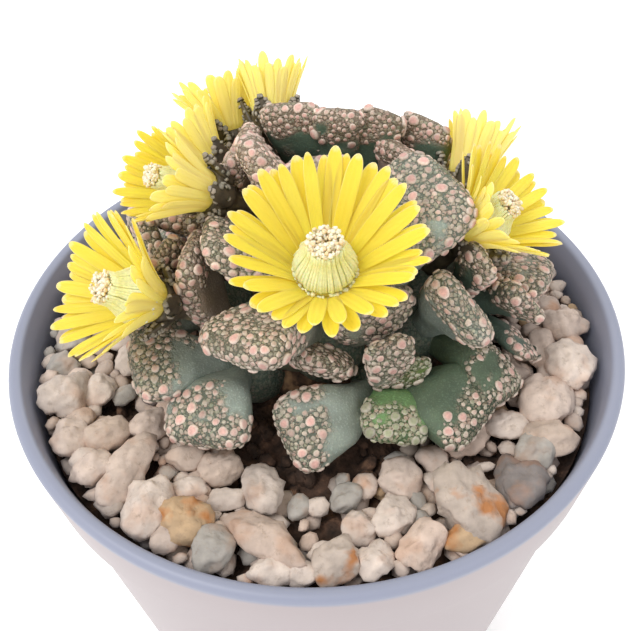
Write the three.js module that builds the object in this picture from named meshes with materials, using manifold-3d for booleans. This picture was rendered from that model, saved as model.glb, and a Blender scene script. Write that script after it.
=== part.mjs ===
// A potted Titanopsis calcarea: a crowded clump of blunt, warty-leaved heads with eight yellow
// flowers, growing from one rootstock in a plastic pot of soil dressed with gravel.
// Millimetres, +Z up. The origin is the middle of the pot's foot. Everything that grows or lies
// in the pot is placed from the middle of the rim, so what lies below the rim is negative.
import * as THREE from "three";
import { mergeVertices } from "three/addons/utils/BufferGeometryUtils.js";
import Module from "manifold-3d";

const wasm = await Module();
wasm.setup();

// Driving dimensions.
const RIM_RADIUS = 35;
const POT_HEIGHT = 60;
const GAP = 0.3;

const POT = {
  sides: 32,
  wall: 1.1,
  lip: 1.5,
  edge: 0.5,
  collar: 9,
  collarTaper: 1.2,
  shoulder: 2,
  foot: 25.6,
  footRing: 1.8,
  recess: 1.2,
  floor: 1.4,
  drains: 5,
  drainRadius: 1.9,
  drainRing: 15,
};
const SOIL = { sides: 24, mound: -4.4, moundRadius: 13.5, moundFoot: 16.2, top: -6.2, floorGap: 2.6 };
const BED = { top: -4.6, bottom: -5.85, inner: 16.6, outer: 32, bank: 1.5 };
const STONE = { seed: 11, sink: 0.6, thickness: 0.66, least: 0.92, rough: 0.2, reach: 0.56 };
const FILLER = {
  count: 30,
  tries: 4000,
  ring: 26,
  spread: 10,
  size: 4.5,
  shortest: 0.85,
  sizeRange: 0.5,
  slimmest: 0.65,
  slimRange: 0.25,
  nearness: 0.46,
};
const CAUDEX = { x: 1.5, y: 3, z: -4, radius: 12, rise: 9.5, neck: 5.2, neckDepth: 11, tip: 34 };
const LEAF = {
  sides: 8,
  rings: 5,
  cutRings: 3,
  cutMargin: 0.3,
  thickness: 0.55,
  upperShare: 0.45,
  footWidth: 0.36,
  footDepth: 0.6,
  widest: 0.84,
  cap: 0.82,
  capPower: 2.8,
  slope: 0.62,
  drop: 0.25,
  bow: 0.06,
  sidePower: 0.7,
  heightPower: 0.8,
  wart: 0.7,
  wartStart: 0.5,
};
const CORE = { radius: 4.2, height: 4.6 };
const CROWN = { lowLean: 35, leanRate: 0.55 };
const PETAL = {
  root: 2.1,
  rootHeight: 0.9,
  width: 1.35,
  footWidth: 0.25,
  thickness: 0.62,
  edge: 0.58,
  keel: 0.67,
  innerLayer: 0.8,
};
const CUP = { foot: 2.4, mouth: 2.9, height: 1.6 };
const STAMENS = { sides: 8, rings: 5, radius: 2.9, share: 0.39, foot: 2.3, top: 0.86, tip: 1.9, rib: 0.35 };
const CALYX = {
  sepals: 5,
  lobe: 2.4,
  outline: [
    [0, -6.5, 0],
    [1.4, -6.3, 0],
    [1.5, -4, 0],
    [2.4, -1.8, 0.25],
    [3, -0.7, 1],
    [2.4, 0, 0],
    [0, 0, 0],
  ],
};

const COLOURS = {
  pot: "#c9c9d2",
  soil: "#7a4f38",
  gravel: "#d9cbb0",
  rootstock: "#7d6a50",
  leaf: "#8b9486",
  calyx: "#6b6f45",
  petals: "#f7e23c",
  stamens: "#e6ecc0",
};

// One head for each growing point. turn and rise place its crown on the rootstock, in degrees
// round from +X and up from level. A leaf is its tip's x, y and z, its width, and its twist.
const HEADS = [
  {
    name: "head_front_crown", turn: 268, rise: 42,
    leaves: [
      [-8.2, -13.2, 12.9, 10.2, 67],
      [-9.8, -3.2, 17.9, 7.8, 58],
      [-5.6, 6.8, 22, 8.4, 82],
      [1.3, 3.6, 20.5, 9, 20],
      [12.7, -1.1, 21.8, 11.4, -26],
      [7.6, -9.2, 13, 7.7, 60],
    ],
  },
  {
    name: "head_front_left", turn: 222, rise: 12,
    leaves: [
      [-13.5, -2.6, 14.8, 7.3, -78],
      [-18.9, -9.7, 4.8, 8.3, 29],
      [-12.5, -16.8, 2.3, 9.5, -24],
      [2, -11.6, 7, 6.8, -100],
    ],
  },
  {
    name: "head_front_right", turn: 300, rise: 8,
    leaves: [
      [-2.6, -18, 1.6, 8.6, 8],
      [7.8, -18, 2.4, 6.8, 45],
      [16.4, -15.9, 2.1, 9.4, -25],
      [7.2, -13.6, 9.6, 5.3, -35],
      [10.2, -12.7, 5.8, 4.4, -23],
    ],
  },
  {
    name: "head_right_front", turn: 328, rise: 28,
    leaves: [
      [15.6, -11, 13.5, 8.6, 12],
      [20.6, -12.2, 1.6, 7.7, -10],
      [17.9, -6.2, 15, 4.6, 80],
    ],
  },
  {
    name: "head_right", turn: 2, rise: 14,
    leaves: [
      [23.7, -5.8, 7.9, 5.8, -8],
      [24.2, -7, 1, 4.6, 0],
      [25.8, 0.4, 7, 8, 30],
      [22, 3.4, 10.4, 8, 0],
      [25.5, 5, 2.5, 9, 0],
    ],
  },
  {
    name: "head_top_right", turn: 38, rise: 40,
    leaves: [
      [13.3, 10.2, 20.6, 6.4, 8],
      [20.5, 9, 12, 9, 0],
      [10.5, 7.5, 19.3, 7, 0],
    ],
  },
  {
    name: "head_left", turn: 186, rise: 20,
    leaves: [
      [-19.6, -5.8, 5.3, 4.8, -57],
      [-16.6, -0.8, 13, 5, -30],
      [-20.8, 6.6, 11.2, 5.6, -45],
      [-20.5, 10.5, 3, 9, 0],
    ],
  },
  {
    name: "head_upper_left", turn: 150, rise: 42,
    leaves: [
      [-7.9, 7.9, 20.7, 7.6, 18],
      [-16.5, 11, 11, 9, 0],
    ],
  },
  {
    name: "head_top", turn: 88, rise: 55,
    leaves: [
      [-1.9, 11.5, 22.6, 7.6, 12],
      [3.5, 9.6, 22.8, 5.6, -10],
      [8.3, 9.5, 22.4, 5.8, -40],
      [3, 17.5, 17, 10, 0],
    ],
  },
  {
    name: "head_back_left", turn: 132, rise: 12,
    leaves: [
      [-15.5, 17.5, 4, 9.5, 0],
      [-8.5, 23, 4.5, 9.5, 0],
      [-8.5, 18, 12, 9, 0],
    ],
  },
  {
    name: "head_back", turn: 88, rise: 16,
    leaves: [
      [-0.5, 25, 6, 9.5, 0],
      [8, 25.5, 4.5, 9.5, 0],
      [4.5, 22.5, 12, 9, 0],
    ],
  },
  {
    name: "head_back_right", turn: 45, rise: 8,
    leaves: [
      [16, 22.5, 4, 9.5, 0],
      [23, 14.5, 3.8, 9.5, 0],
      [15, 18, 11.5, 8.6, 0],
    ],
  },
];

// A flower's place is the foot of its petals. It leans tilt degrees from upright, towards turn,
// and spread and rise are its petal tips' distance out from its axis and up from its foot.
const FLOWERS = [
  {
    name: "front", at: [1.1, -9.9, 15.8], turn: 271, tilt: 20,
    spread: 9.2, rise: 9.6, petals: 25, segments: 4,
  },
  {
    name: "left", at: [-15.9, -5.4, 9.3], turn: 200, tilt: 52,
    spread: 7.8, rise: 8.8, petals: 17, segments: 3,
  },
  {
    name: "upper_left", at: [-10.3, 2.7, 17], turn: 200, tilt: 54,
    spread: 5, rise: 8.8, petals: 13, segments: 3,
  },
  {
    name: "back_left", at: [-10.4, 9.6, 14.6], turn: 144, tilt: 55,
    spread: 5, rise: 6.8, petals: 11, segments: 3,
  },
  {
    name: "top_left", at: [-8.7, 16, 14.4], turn: 112, tilt: 41,
    spread: 5.5, rise: 7.4, petals: 11, segments: 3,
  },
  {
    name: "top", at: [-4, 14.4, 17.6], turn: 89, tilt: 39,
    spread: 4, rise: 7.1, petals: 10, segments: 3,
  },
  {
    name: "right", at: [16.2, -1.5, 13.4], turn: 352, tilt: 38,
    spread: 6.7, rise: 7.6, petals: 15, segments: 3,
  },
  {
    name: "back_right", at: [16.8, 5.2, 15], turn: 68, tilt: 46,
    spread: 4.2, rise: 7.5, petals: 11, segments: 3,
  },
];

// The stones that lie in front: x and y, length, breadth and the angle that they lie at.
const STONES = [
  [-29.7, -7.9, 6, 5.2, 50], [-28.6, -14.1, 5.4, 3.9, 115], [-26.2, -10.8, 3.4, 2.9, 90],
  [-23.1, -13.0, 4.8, 4.1, 25], [-20.3, -17.9, 9.1, 4, 65], [-18.2, -23.0, 6.6, 5, 75],
  [-26.2, -19.1, 4.7, 3.8, 10], [-23.2, -22.9, 3.2, 2.4, -25], [-10.5, -17.4, 4.4, 3.9, 0],
  [-13.9, -20.0, 3.6, 2.8, 0], [-13.8, -24.4, 5.7, 4.7, 20], [-9.9, -21.3, 4.4, 2.6, 0],
  [-6.2, -20.5, 5.8, 4.2, 100], [-6.1, -26.4, 10.4, 4.2, -35], [-11.4, -29.1, 4.8, 3.7, 85],
  [-5.3, -31.4, 4.5, 3.2, 0], [-2.2, -31.3, 3, 2.7, 0], [-16.4, -28.0, 4.6, 3.1, 20],
  [-28.8, 1.6, 5.3, 3.6, 90], [-29.4, -2.6, 3.7, 3, 0], [-28.2, 12.4, 5.6, 4, 95],
  [-29.2, 7.2, 4.6, 3.6, 80], [8.2, -19.7, 4.5, 4, -50], [14.6, -23.6, 8, 6.2, -70],
  [7.2, -24.7, 4.6, 3.8, 60], [3.5, -25.7, 3.8, 3.4, 0], [2.4, -22.0, 3.8, 3.2, 30],
  [-0.3, -28.2, 2.6, 2.3, 0], [5, -29.6, 4.2, 3.5, 70], [9.8, -28.8, 5.6, 3.8, 50],
  [1.2, -31.1, 5.4, 4.2, 50], [16.4, -28.7, 6.4, 3.1, 25], [19.6, -21.1, 7, 3.3, -85],
  [22.6, -17.3, 4.6, 3.8, 55], [22.9, -23.3, 6, 3.9, 70], [25.2, -10.7, 7.2, 5.4, 65],
  [29.4, -6.3, 6.6, 5, -80], [26.8, -17.7, 5.6, 4.1, -30], [29.4, 0.5, 4.8, 4.4, 0],
  [26.2, -2.8, 5.6, 3.4, 75],
];

const radians = THREE.MathUtils.degToRad;
const smoothstep = THREE.MathUtils.smoothstep;
const UP = new THREE.Vector3(0, 0, 1);

// Random numbers from 0 to 1 that repeat from a seed.
function seeded(seed) {
  let state = seed;
  return () => {
    state = (state + 0x6d2b79f5) | 0;
    let mixed = Math.imul(state ^ (state >>> 15), state | 1);
    mixed ^= mixed + Math.imul(mixed ^ (mixed >>> 7), mixed | 61);
    return ((mixed ^ (mixed >>> 14)) >>> 0) / 2 ** 32;
  };
}

// Makes a solid of a closed geometry, after moving each of its vertices by a formula.
function solid(geometry, move = () => {}) {
  const bare = geometry.clone();
  bare.deleteAttribute("normal");
  bare.deleteAttribute("uv");
  const merged = mergeVertices(bare);
  const position = merged.attributes.position;
  const point = new THREE.Vector3();
  for (let i = 0; i < position.count; i += 1) {
    move(point.fromBufferAttribute(position, i), i);
    position.setXYZ(i, ...point);
  }
  const triVerts = new Uint32Array(merged.index.array);
  if (enclosedVolume(position, triVerts) < 0) {
    triVerts.reverse();
  }
  const vertProperties = new Float32Array(position.array);
  return new wasm.Manifold(new wasm.Mesh({ numProp: 3, vertProperties, triVerts }));
}

function enclosedVolume(position, corners) {
  const [a, b, c] = [new THREE.Vector3(), new THREE.Vector3(), new THREE.Vector3()];
  let total = 0;
  for (let i = 0; i < corners.length; i += 3) {
    a.fromBufferAttribute(position, corners[i]);
    b.fromBufferAttribute(position, corners[i + 1]);
    c.fromBufferAttribute(position, corners[i + 2]);
    total += a.dot(b.cross(c)) / 6;
  }
  return total;
}

// How far up a unit sphere a point lies, from 0 at its lower pole to 1 at its upper one.
function latitude(point) {
  return Math.acos(THREE.MathUtils.clamp(-point.y, -1, 1)) / Math.PI;
}

// A solid turned about +Z from pairs of radius and height.
function turned(outline, sides) {
  const points = outline.map(([radius, height]) => new THREE.Vector2(radius, height));
  return solid(new THREE.LatheGeometry(points, sides).rotateX(Math.PI / 2));
}

function joined(solids) {
  return solids.reduce((whole, piece) => whole.add(piece));
}

// The largest piece of a solid. Scraps that a cut leaves loose are dropped.
function largest(whole) {
  const pieces = whole.decompose();
  return pieces.reduce((best, piece) => (piece.volume() > best.volume() ? piece : best));
}

function mesh(name, whole, colour, roughness) {
  const { vertProperties, triVerts } = whole.getMesh();
  const geometry = new THREE.BufferGeometry();
  geometry.setAttribute("position", new THREE.BufferAttribute(vertProperties, 3));
  geometry.setIndex(new THREE.BufferAttribute(triVerts, 1));
  geometry.computeVertexNormals();
  const material = new THREE.MeshStandardMaterial({ color: colour, roughness, metalness: 0 });
  const made = new THREE.Mesh(geometry, material);
  made.name = name;
  return made;
}

// The pot's inner wall leans as its outer wall does.
function innerRadius(height) {
  const lean = (RIM_RADIUS - POT.shoulder - POT.foot) / (POT_HEIGHT - POT.collar);
  return RIM_RADIUS - POT.shoulder - POT.wall + lean * (height + POT.collar);
}

function makePot() {
  const { lip, edge, collar, collarTaper, shoulder, foot, footRing, recess, floor } = POT;
  const base = -POT_HEIGHT;
  const inside = base + recess + floor;
  const body = turned([
    [0, base + recess],
    [foot - footRing - edge, base + recess],
    [foot - footRing, base],
    [foot - edge, base],
    [foot, base + edge],
    [RIM_RADIUS - shoulder, -collar],
    [RIM_RADIUS - collarTaper, -collar],
    [RIM_RADIUS, -edge],
    [RIM_RADIUS - edge, 0],
    [RIM_RADIUS - lip, 0],
    [innerRadius(-edge * 4), -edge * 4],
    [innerRadius(inside), inside],
    [0, inside],
  ], POT.sides);
  const drains = Array.from({ length: POT.drains }, (_, i) => {
    const drain = new THREE.CylinderGeometry(POT.drainRadius, POT.drainRadius, 4 * floor, 10);
    const around = (2 * Math.PI * i) / POT.drains;
    drain.rotateX(Math.PI / 2);
    drain.translate(POT.drainRing * Math.cos(around), POT.drainRing * Math.sin(around), inside);
    return solid(drain);
  });
  return body.subtract(joined(drains));
}

// The rootstock's head is a low dome, and its tapering root goes down into the soil.
function makeCaudex(grow = 0) {
  const { radius, rise, neck, neckDepth, tip, z } = CAUDEX;
  const outline = [[0, z - tip - grow], [1 + grow, z - tip - grow], [neck + grow, z - neckDepth]];
  for (const up of [-42, -10, 15, 40, 65].map(radians)) {
    outline.push([(radius + grow) * Math.cos(up), z + (rise + grow) * Math.sin(up)]);
  }
  outline.push([0, z + rise + grow]);
  return turned(outline, 16).translate([CAUDEX.x, CAUDEX.y, 0]);
}

function makeSoil() {
  const { mound, moundRadius, moundFoot, top, floorGap } = SOIL;
  const base = -POT_HEIGHT + POT.recess + POT.floor + floorGap;
  const plug = turned([
    [0, base],
    [innerRadius(base) - GAP, base],
    [innerRadius(top) - GAP, top],
    [moundFoot, top],
    [moundRadius, mound],
    [0, mound],
  ], SOIL.sides);
  return plug.subtract(makeCaudex(GAP));
}

// The bed of gravel rises in a straight bank towards the pot's wall.
function bedTop(radius) {
  return BED.top + BED.bank * (radius - BED.inner) / (BED.outer - BED.inner);
}

// A lump of grit, with its corners moved in and out at random, kept clear of the pot's wall.
function makeStone([x, y, length, breadth, angle], random) {
  const tall = STONE.thickness * breadth;
  const turn = radians(angle);
  const lie = turn - Math.atan2(y, x);
  const reach = STONE.reach * Math.hypot(length * Math.cos(lie), breadth * Math.sin(lie));
  const inward = Math.min(1, (innerRadius(BED.top) - GAP - reach) / Math.hypot(x, y));
  const middle = bedTop(inward * Math.hypot(x, y)) - STONE.sink + tall / 2;
  return solid(new THREE.IcosahedronGeometry(0.5), (point) => {
    point.multiplyScalar(STONE.least + STONE.rough * random());
    point.multiply(new THREE.Vector3(length, breadth, tall));
    point.applyAxisAngle(UP, turn);
    point.add(new THREE.Vector3(x * inward, y * inward, middle));
  });
}

// Stones at random round the ring of gravel, where the listed ones leave room.
function fillerStones(random) {
  const placed = [...STONES];
  const added = [];
  for (let tries = 0; tries < FILLER.tries && added.length < FILLER.count; tries += 1) {
    const around = random() * 2 * Math.PI;
    const out = FILLER.ring + FILLER.spread * (random() - 0.5);
    const length = FILLER.size * (FILLER.shortest + FILLER.sizeRange * random());
    const breadth = length * (FILLER.slimmest + FILLER.slimRange * random());
    const [x, y] = [out * Math.cos(around), out * Math.sin(around)];
    const clear = placed.every((other) => {
      const reach = FILLER.nearness * (length + other[2]);
      return Math.hypot(x - other[0], y - other[1]) > reach;
    });
    if (clear) {
      const stone = [x, y, length, breadth, 180 * random()];
      placed.push(stone);
      added.push(stone);
    }
  }
  return added;
}

function makeGravel() {
  const random = seeded(STONE.seed);
  const { bottom, inner, outer } = BED;
  const bed = turned([
    [inner, bottom],
    [outer, bottom],
    [outer, bedTop(outer)],
    [inner, bedTop(inner)],
    [inner, bottom],
  ], 36);
  const stones = [...STONES, ...fillerStones(random)];
  return joined([bed, ...stones.map((stone) => makeStone(stone, random))]);
}

// The unit frame of a leaf: along it, across it and out of its upper face, which looks towards
// the axis of its head.
function leafFrame(crown, tip, axis, twist) {
  const along = tip.clone().sub(crown).normalize();
  const face = axis.clone().addScaledVector(along, -axis.dot(along)).normalize();
  face.applyAxisAngle(along, radians(twist));
  return { along, face, across: along.clone().cross(face) };
}

// A leaf widens from a narrow foot to a blunt, thick end whose upper face slopes off. Each of its
// points is worked out from how far along the leaf it lies, s, and its angle round the leaf.
function makeLeaf(crown, axis, [x, y, z, width, twist], grow = 0) {
  const tip = new THREE.Vector3(x, y, z);
  const length = crown.distanceTo(tip) + grow;
  const thick = LEAF.thickness * width;
  const { along, face, across } = leafFrame(crown, tip, axis, twist);
  const rings = grow > 0 ? LEAF.cutRings : LEAF.rings;
  const tube = new THREE.CylinderGeometry(1, 1, 1, LEAF.sides, rings);
  return solid(tube, (point, i) => {
    const steps = point.y + 0.5;
    const isPole = Math.hypot(point.x, point.z) < 0.5;
    const s = isPole ? steps : Math.min(1 - (1 - steps) ** 1.6, 0.985);
    const angle = Math.atan2(point.z, point.x);
    const blunt = Math.max(0, (s - LEAF.cap) / (1 - LEAF.cap));
    const fall = Math.max(0, (s - LEAF.slope) / (1 - LEAF.slope));
    const swell = LEAF.footDepth + (1 - LEAF.footDepth) * smoothstep(s, 0.1, 0.7);
    const widening = LEAF.footWidth + (1 - LEAF.footWidth) * smoothstep(s, 0.15, LEAF.widest);
    const halfWidth = 0.5 * width * widening * (1 - blunt ** LEAF.capPower) ** (1 / LEAF.capPower);
    const upper = LEAF.upperShare * thick * swell * Math.sqrt(1 - fall ** 2.4);
    const lower = (1 - LEAF.upperShare) * thick * swell * Math.sqrt(1 - fall ** 3);
    const isKnob = s > LEAF.wartStart && (i + Math.floor(i / LEAF.sides)) % 2 === 1;
    const knob = grow === 0 && isKnob ? LEAF.wart : grow;
    const [c, v] = [Math.cos(angle), Math.sin(angle)];
    const side = (halfWidth + knob) * Math.sign(c) * Math.abs(c) ** LEAF.sidePower;
    const height = ((v > 0 ? upper : lower) + knob) * Math.sign(v) * Math.abs(v) ** LEAF.heightPower;
    const drop = LEAF.drop * thick * smoothstep(s, 0.6, 1);
    const bow = LEAF.bow * length * 4 * s * (1 - s);
    point.copy(crown);
    point.addScaledVector(along, s * length);
    point.addScaledVector(across, isPole ? 0 : side);
    point.addScaledVector(face, (isPole ? 0 : height) - drop + bow);
  });
}

// A head's crown lies on the rootstock's dome, and its axis leans out from there.
function headFrame({ turn, rise }) {
  const [around, up] = [radians(turn), radians(rise)];
  const out = new THREE.Vector3(Math.cos(around), Math.sin(around), 0);
  const crown = new THREE.Vector3(CAUDEX.x, CAUDEX.y, CAUDEX.z);
  crown.addScaledVector(out, CAUDEX.radius * Math.cos(up));
  crown.z += CAUDEX.rise * Math.sin(up);
  const lean = radians(CROWN.lowLean + CROWN.leanRate * rise);
  const axis = out.multiplyScalar(Math.cos(lean)).addScaledVector(UP, Math.sin(lean));
  return { crown, axis };
}

function makeHead(head, grow = 0) {
  const { crown, axis } = headFrame(head);
  const turnUp = new THREE.Quaternion().setFromUnitVectors(UP, axis);
  const core = solid(new THREE.SphereGeometry(1, 8, 4), (point) => {
    point.multiply(new THREE.Vector3(CORE.radius + grow, CORE.radius + grow, CORE.height + grow));
    point.applyQuaternion(turnUp);
    point.add(crown);
  });
  return joined([core, ...head.leaves.map((leaf) => makeLeaf(crown, axis, leaf, grow))]);
}

// Carries a point of a flower from the flower's own frame, whose axis is +Z, to its place.
function flowerPlacer({ at, turn, tilt }) {
  const [around, lean] = [radians(turn), radians(tilt)];
  const axis = new THREE.Vector3(Math.cos(around), Math.sin(around), 0).multiplyScalar(Math.sin(lean));
  axis.addScaledVector(UP, Math.cos(lean));
  const turnUp = new THREE.Quaternion().setFromUnitVectors(UP, axis);
  const place = new THREE.Vector3(...at);
  return (point) => point.applyQuaternion(turnUp).add(place);
}

// Petals rise from a small cup and arch outwards, every other one lower. A petal is a keeled
// blade: two edges above and one below.
function makePetals(flower, grow = 0) {
  const place = flowerPlacer(flower);
  const cup = turned([
    [0, GAP - grow],
    [CUP.foot + grow, GAP - grow],
    [CUP.mouth + grow, CUP.height + grow],
    [0, CUP.height + grow],
  ], 10);
  const blades = Array.from({ length: flower.petals }, (_, i) => {
    const around = (2 * Math.PI * i) / flower.petals;
    const rise = flower.rise * (i % 2 ? PETAL.innerLayer : 1);
    const blade = new THREE.SphereGeometry(1, 3, flower.segments);
    return solid(blade, (point) => {
      const t = 1 - (1 - latitude(point)) ** 2.2;
      const angle = Math.atan2(point.z, point.x);
      const round = Math.hypot(point.x, point.z) < 1e-3 ? 0 : 1;
      const widening = PETAL.footWidth + (1 - PETAL.footWidth) * smoothstep(t, 0.1, 0.5);
      const width = PETAL.width * widening + 2 * grow;
      const thick = PETAL.thickness + 2 * grow;
      const out = PETAL.root + (flower.spread - PETAL.root) * t ** 1.1;
      const up = PETAL.rootHeight + (rise - PETAL.rootHeight) * t ** 0.9;
      const side = round * PETAL.edge * width * Math.sin(angle);
      const lift = round * PETAL.keel * thick * (Math.cos(angle) < 0 ? 0.5 : -1);
      point.set(out - 0.6 * lift, side, up + 0.8 * lift);
      point.applyAxisAngle(UP, around);
      place(point);
    });
  });
  return joined([solidPlaced(cup, flower), ...blades]);
}

// Puts a solid that was made in a flower's own frame at the flower's place.
function solidPlaced(whole, flower) {
  const place = flowerPlacer(flower);
  return whole.warp((corner) => {
    const point = place(new THREE.Vector3(...corner));
    [corner[0], corner[1], corner[2]] = [point.x, point.y, point.z];
  });
}

// The stamens stand together in a ribbed cone that narrows to the anthers.
function makeStamens(flower) {
  const place = flowerPlacer(flower);
  const { sides, rings, radius, share, foot, top, tip, rib } = STAMENS;
  const width = Math.min(radius, share * flower.spread);
  return solid(new THREE.SphereGeometry(1, sides, rings), (point) => {
    const t = latitude(point);
    const angle = Math.atan2(point.z, point.x);
    const ribbed = 1 - (rib / radius) * (Math.round((angle * sides) / (2 * Math.PI)) % 2 ? 1 : 0);
    const belly = smoothstep(t, 0, 0.3) * (width - (width - tip) * smoothstep(t, 0.3, 0.85));
    const out = belly * Math.sqrt(1 - smoothstep(t, 0.83, 1)) * ribbed;
    point.set(out * Math.cos(angle), out * Math.sin(angle), foot + (top * flower.rise - foot) * t);
    place(point);
  });
}

// A flower's foot: a stalk that swells into a shallow cup below the petals. Every other corner
// of the cup's mouth is drawn out into a fleshy sepal, which lies along the petals' outside.
function makeCalyx(flower, grow = 0) {
  const place = flowerPlacer(flower);
  const { sepals, outline, lobe } = CALYX;
  const steep = Math.atan2(flower.rise - CUP.height, flower.spread - CUP.mouth);
  const stalk = new THREE.SphereGeometry(1, 2 * sepals, outline.length - 1);
  return solid(stalk, (point) => {
    const ring = Math.round(latitude(point) * (outline.length - 1));
    const [radius, height, drawn] = outline[ring];
    const angle = Math.atan2(point.z, point.x);
    const corner = Math.round((angle * sepals) / Math.PI);
    const reach = corner % 2 ? drawn * (lobe + grow) : 0;
    const out = radius === 0 ? 0 : radius + grow + reach * Math.cos(steep);
    const up = height + Math.sign(height + 1) * 1.5 * grow + reach * Math.sin(steep);
    point.set(out * Math.cos(angle), out * Math.sin(angle), up);
    place(point);
  });
}

function makePlant() {
  const plant = new THREE.Group();
  plant.add(mesh("rootstock", makeCaudex(), COLOURS.rootstock, 0.9));

  const holes = FLOWERS.map((flower) => makeCalyx(flower, GAP));
  const ground = turned([[0, SOIL.top], [24, SOIL.top], [24, SOIL.mound + GAP], [0, SOIL.mound + GAP]], 12);
  let taken = joined([makeCaudex(GAP), ground, ...holes]);
  for (const head of HEADS) {
    const cut = largest(makeHead(head).subtract(taken));
    taken = taken.add(makeHead(head, GAP + LEAF.wart + LEAF.cutMargin));
    plant.add(mesh(head.name, cut, COLOURS.leaf, 0.75));
  }

  FLOWERS.forEach((flower, i) => {
    const earlier = joined([makeCaudex(GAP), ...holes.slice(0, i)]);
    const calyx = largest(makeCalyx(flower).subtract(earlier));
    const petals = largest(makePetals(flower).subtract(taken));
    taken = taken.add(makePetals(flower, GAP));
    plant.add(mesh(`flower_${flower.name}_calyx`, calyx, COLOURS.calyx, 0.7));
    plant.add(mesh(`flower_${flower.name}_petals`, petals, COLOURS.petals, 0.5));
    plant.add(mesh(`flower_${flower.name}_stamens`, makeStamens(flower), COLOURS.stamens, 0.6));
  });
  return plant;
}

function makePottedPlant() {
  const whole = new THREE.Group();
  const holder = new THREE.Group();
  holder.add(mesh("pot", makePot(), COLOURS.pot, 0.4));
  holder.add(mesh("soil", makeSoil(), COLOURS.soil, 0.95));
  holder.add(mesh("gravel", makeGravel(), COLOURS.gravel, 0.85));
  whole.add(holder, makePlant());
  whole.position.z = POT_HEIGHT;
  return whole;
}

export default makePottedPlant();
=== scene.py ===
"""Looks of a potted Titanopsis calcarea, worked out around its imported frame.

Lengths are in millimetres, measured from the middle of the pot's rim: +Z is up, -Y is towards
the viewer, and what lies below the rim is negative. to_metres() turns them into the frame's
own metres, whose origin is the middle of the pot's foot.
"""

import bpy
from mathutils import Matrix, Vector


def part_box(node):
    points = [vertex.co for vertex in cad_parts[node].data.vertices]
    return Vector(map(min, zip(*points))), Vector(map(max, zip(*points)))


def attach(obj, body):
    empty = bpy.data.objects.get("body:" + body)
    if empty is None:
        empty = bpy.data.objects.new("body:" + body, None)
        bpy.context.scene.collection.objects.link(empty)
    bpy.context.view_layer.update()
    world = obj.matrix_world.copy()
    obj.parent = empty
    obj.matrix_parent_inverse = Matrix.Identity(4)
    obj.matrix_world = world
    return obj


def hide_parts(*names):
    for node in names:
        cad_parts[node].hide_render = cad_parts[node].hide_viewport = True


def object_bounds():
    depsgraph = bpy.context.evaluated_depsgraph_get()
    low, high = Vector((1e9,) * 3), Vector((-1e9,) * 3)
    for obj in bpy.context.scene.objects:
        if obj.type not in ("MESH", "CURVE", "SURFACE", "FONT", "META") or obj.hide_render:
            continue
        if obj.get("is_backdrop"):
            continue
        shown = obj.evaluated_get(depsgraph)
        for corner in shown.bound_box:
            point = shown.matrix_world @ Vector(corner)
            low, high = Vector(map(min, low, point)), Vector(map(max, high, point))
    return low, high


bl_info = {
    "name": "Potted titanopsis calcarea",
    "version": (1, 0, 0),
    "blender": (4, 5, 0),
    "location": "3D View > Sidebar > Titanopsis",
    "description": "Warty leaf heads, yellow flowers, gravel, soil and pot of a Titanopsis calcarea",
    "category": "Object",
}

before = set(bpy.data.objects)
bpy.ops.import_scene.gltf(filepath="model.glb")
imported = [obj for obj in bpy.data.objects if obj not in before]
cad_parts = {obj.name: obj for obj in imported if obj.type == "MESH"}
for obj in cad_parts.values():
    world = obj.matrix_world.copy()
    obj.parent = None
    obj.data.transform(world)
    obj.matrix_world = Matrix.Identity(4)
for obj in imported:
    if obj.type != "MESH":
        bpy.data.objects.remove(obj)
CAD_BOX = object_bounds()

import math
from collections import namedtuple

import bpy
import numpy as np
from mathutils import Matrix, Vector

# Driving dimensions, from the frame.
POT_LOW, POT_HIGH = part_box("pot")
RIM_HEIGHT = 1000 * POT_HIGH[2]
RIM_RADIUS = 1000 * POT_HIGH[0]

POT = {
    "sides": 192,
    "wall": 1.1,
    "lip": 1.5,
    "edge": 0.5,
    "collar": 9,
    "collar_taper": 1.2,
    "shoulder": 2,
    "foot": 25.6,
    "foot_ring": 1.8,
    "recess": 1.2,
    "floor": 1.4,
    "drains": 5,
    "drain_radius": 1.9,
    "drain_ring": 15,
}
# How far out the wall leans for each millimetre that it rises.
WALL_LEAN = (RIM_RADIUS - POT["shoulder"] - POT["foot"]) / (RIM_HEIGHT - POT["collar"])
SOIL = {
    "mound": -4.4,
    "mound_radius": 13.5,
    "mound_foot": 16.2,
    "top": -5.9,
    "gap": 0.3,
    "floor_gap": 2.6,
    "crumb_ring": (13, 25),
    "crumb_size": (0.35, 1.1),
}
BED = {"top": -4.6, "inner": 16.6, "outer": 32, "bank": 1.5}
# Bare patches of soil among the stones: x, y and radius.
BARE = [
    (-5.5, -16.5, 3.4),
    (-1.5, -19.5, 3.2),
    (0.9, -24.9, 2.6),
    (4.6, -17.4, 2.6),
    (3.2, -27.2, 1.6),
    (-21.6, -9.4, 2.4),
]
CAUDEX = {"centre": (1.5, 3, -4), "radius": 12, "rise": 9.5, "neck": 5.2, "neck_depth": 11, "tip": 34}
CORE = {"radius": 4.2, "height": 4.6}
LEAF = {
    "thickness": 0.55,
    "upper_share": 0.45,
    "foot_width": 0.36,
    "foot_depth": 0.6,
    "widest": 0.84,
    "cap": 0.85,
    "cap_power": 3.1,
    "slope": 0.62,
    "drop": 0.25,
    "bow": 0.06,
    "side_power": 0.6,
    "height_power": 0.68,
}
# What skin without warts has of the values that the warts' material reads.
PLAIN = {"tone": 0.5, "height": 0, "shade": 1}
# How finely warts are made: for radii from and up to, the sides and rings of one.
WART_FACES = [(0, 0.26, 7, 2), (0.26, 0.4, 8, 3), (0.4, 9, 11, 4)]

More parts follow.
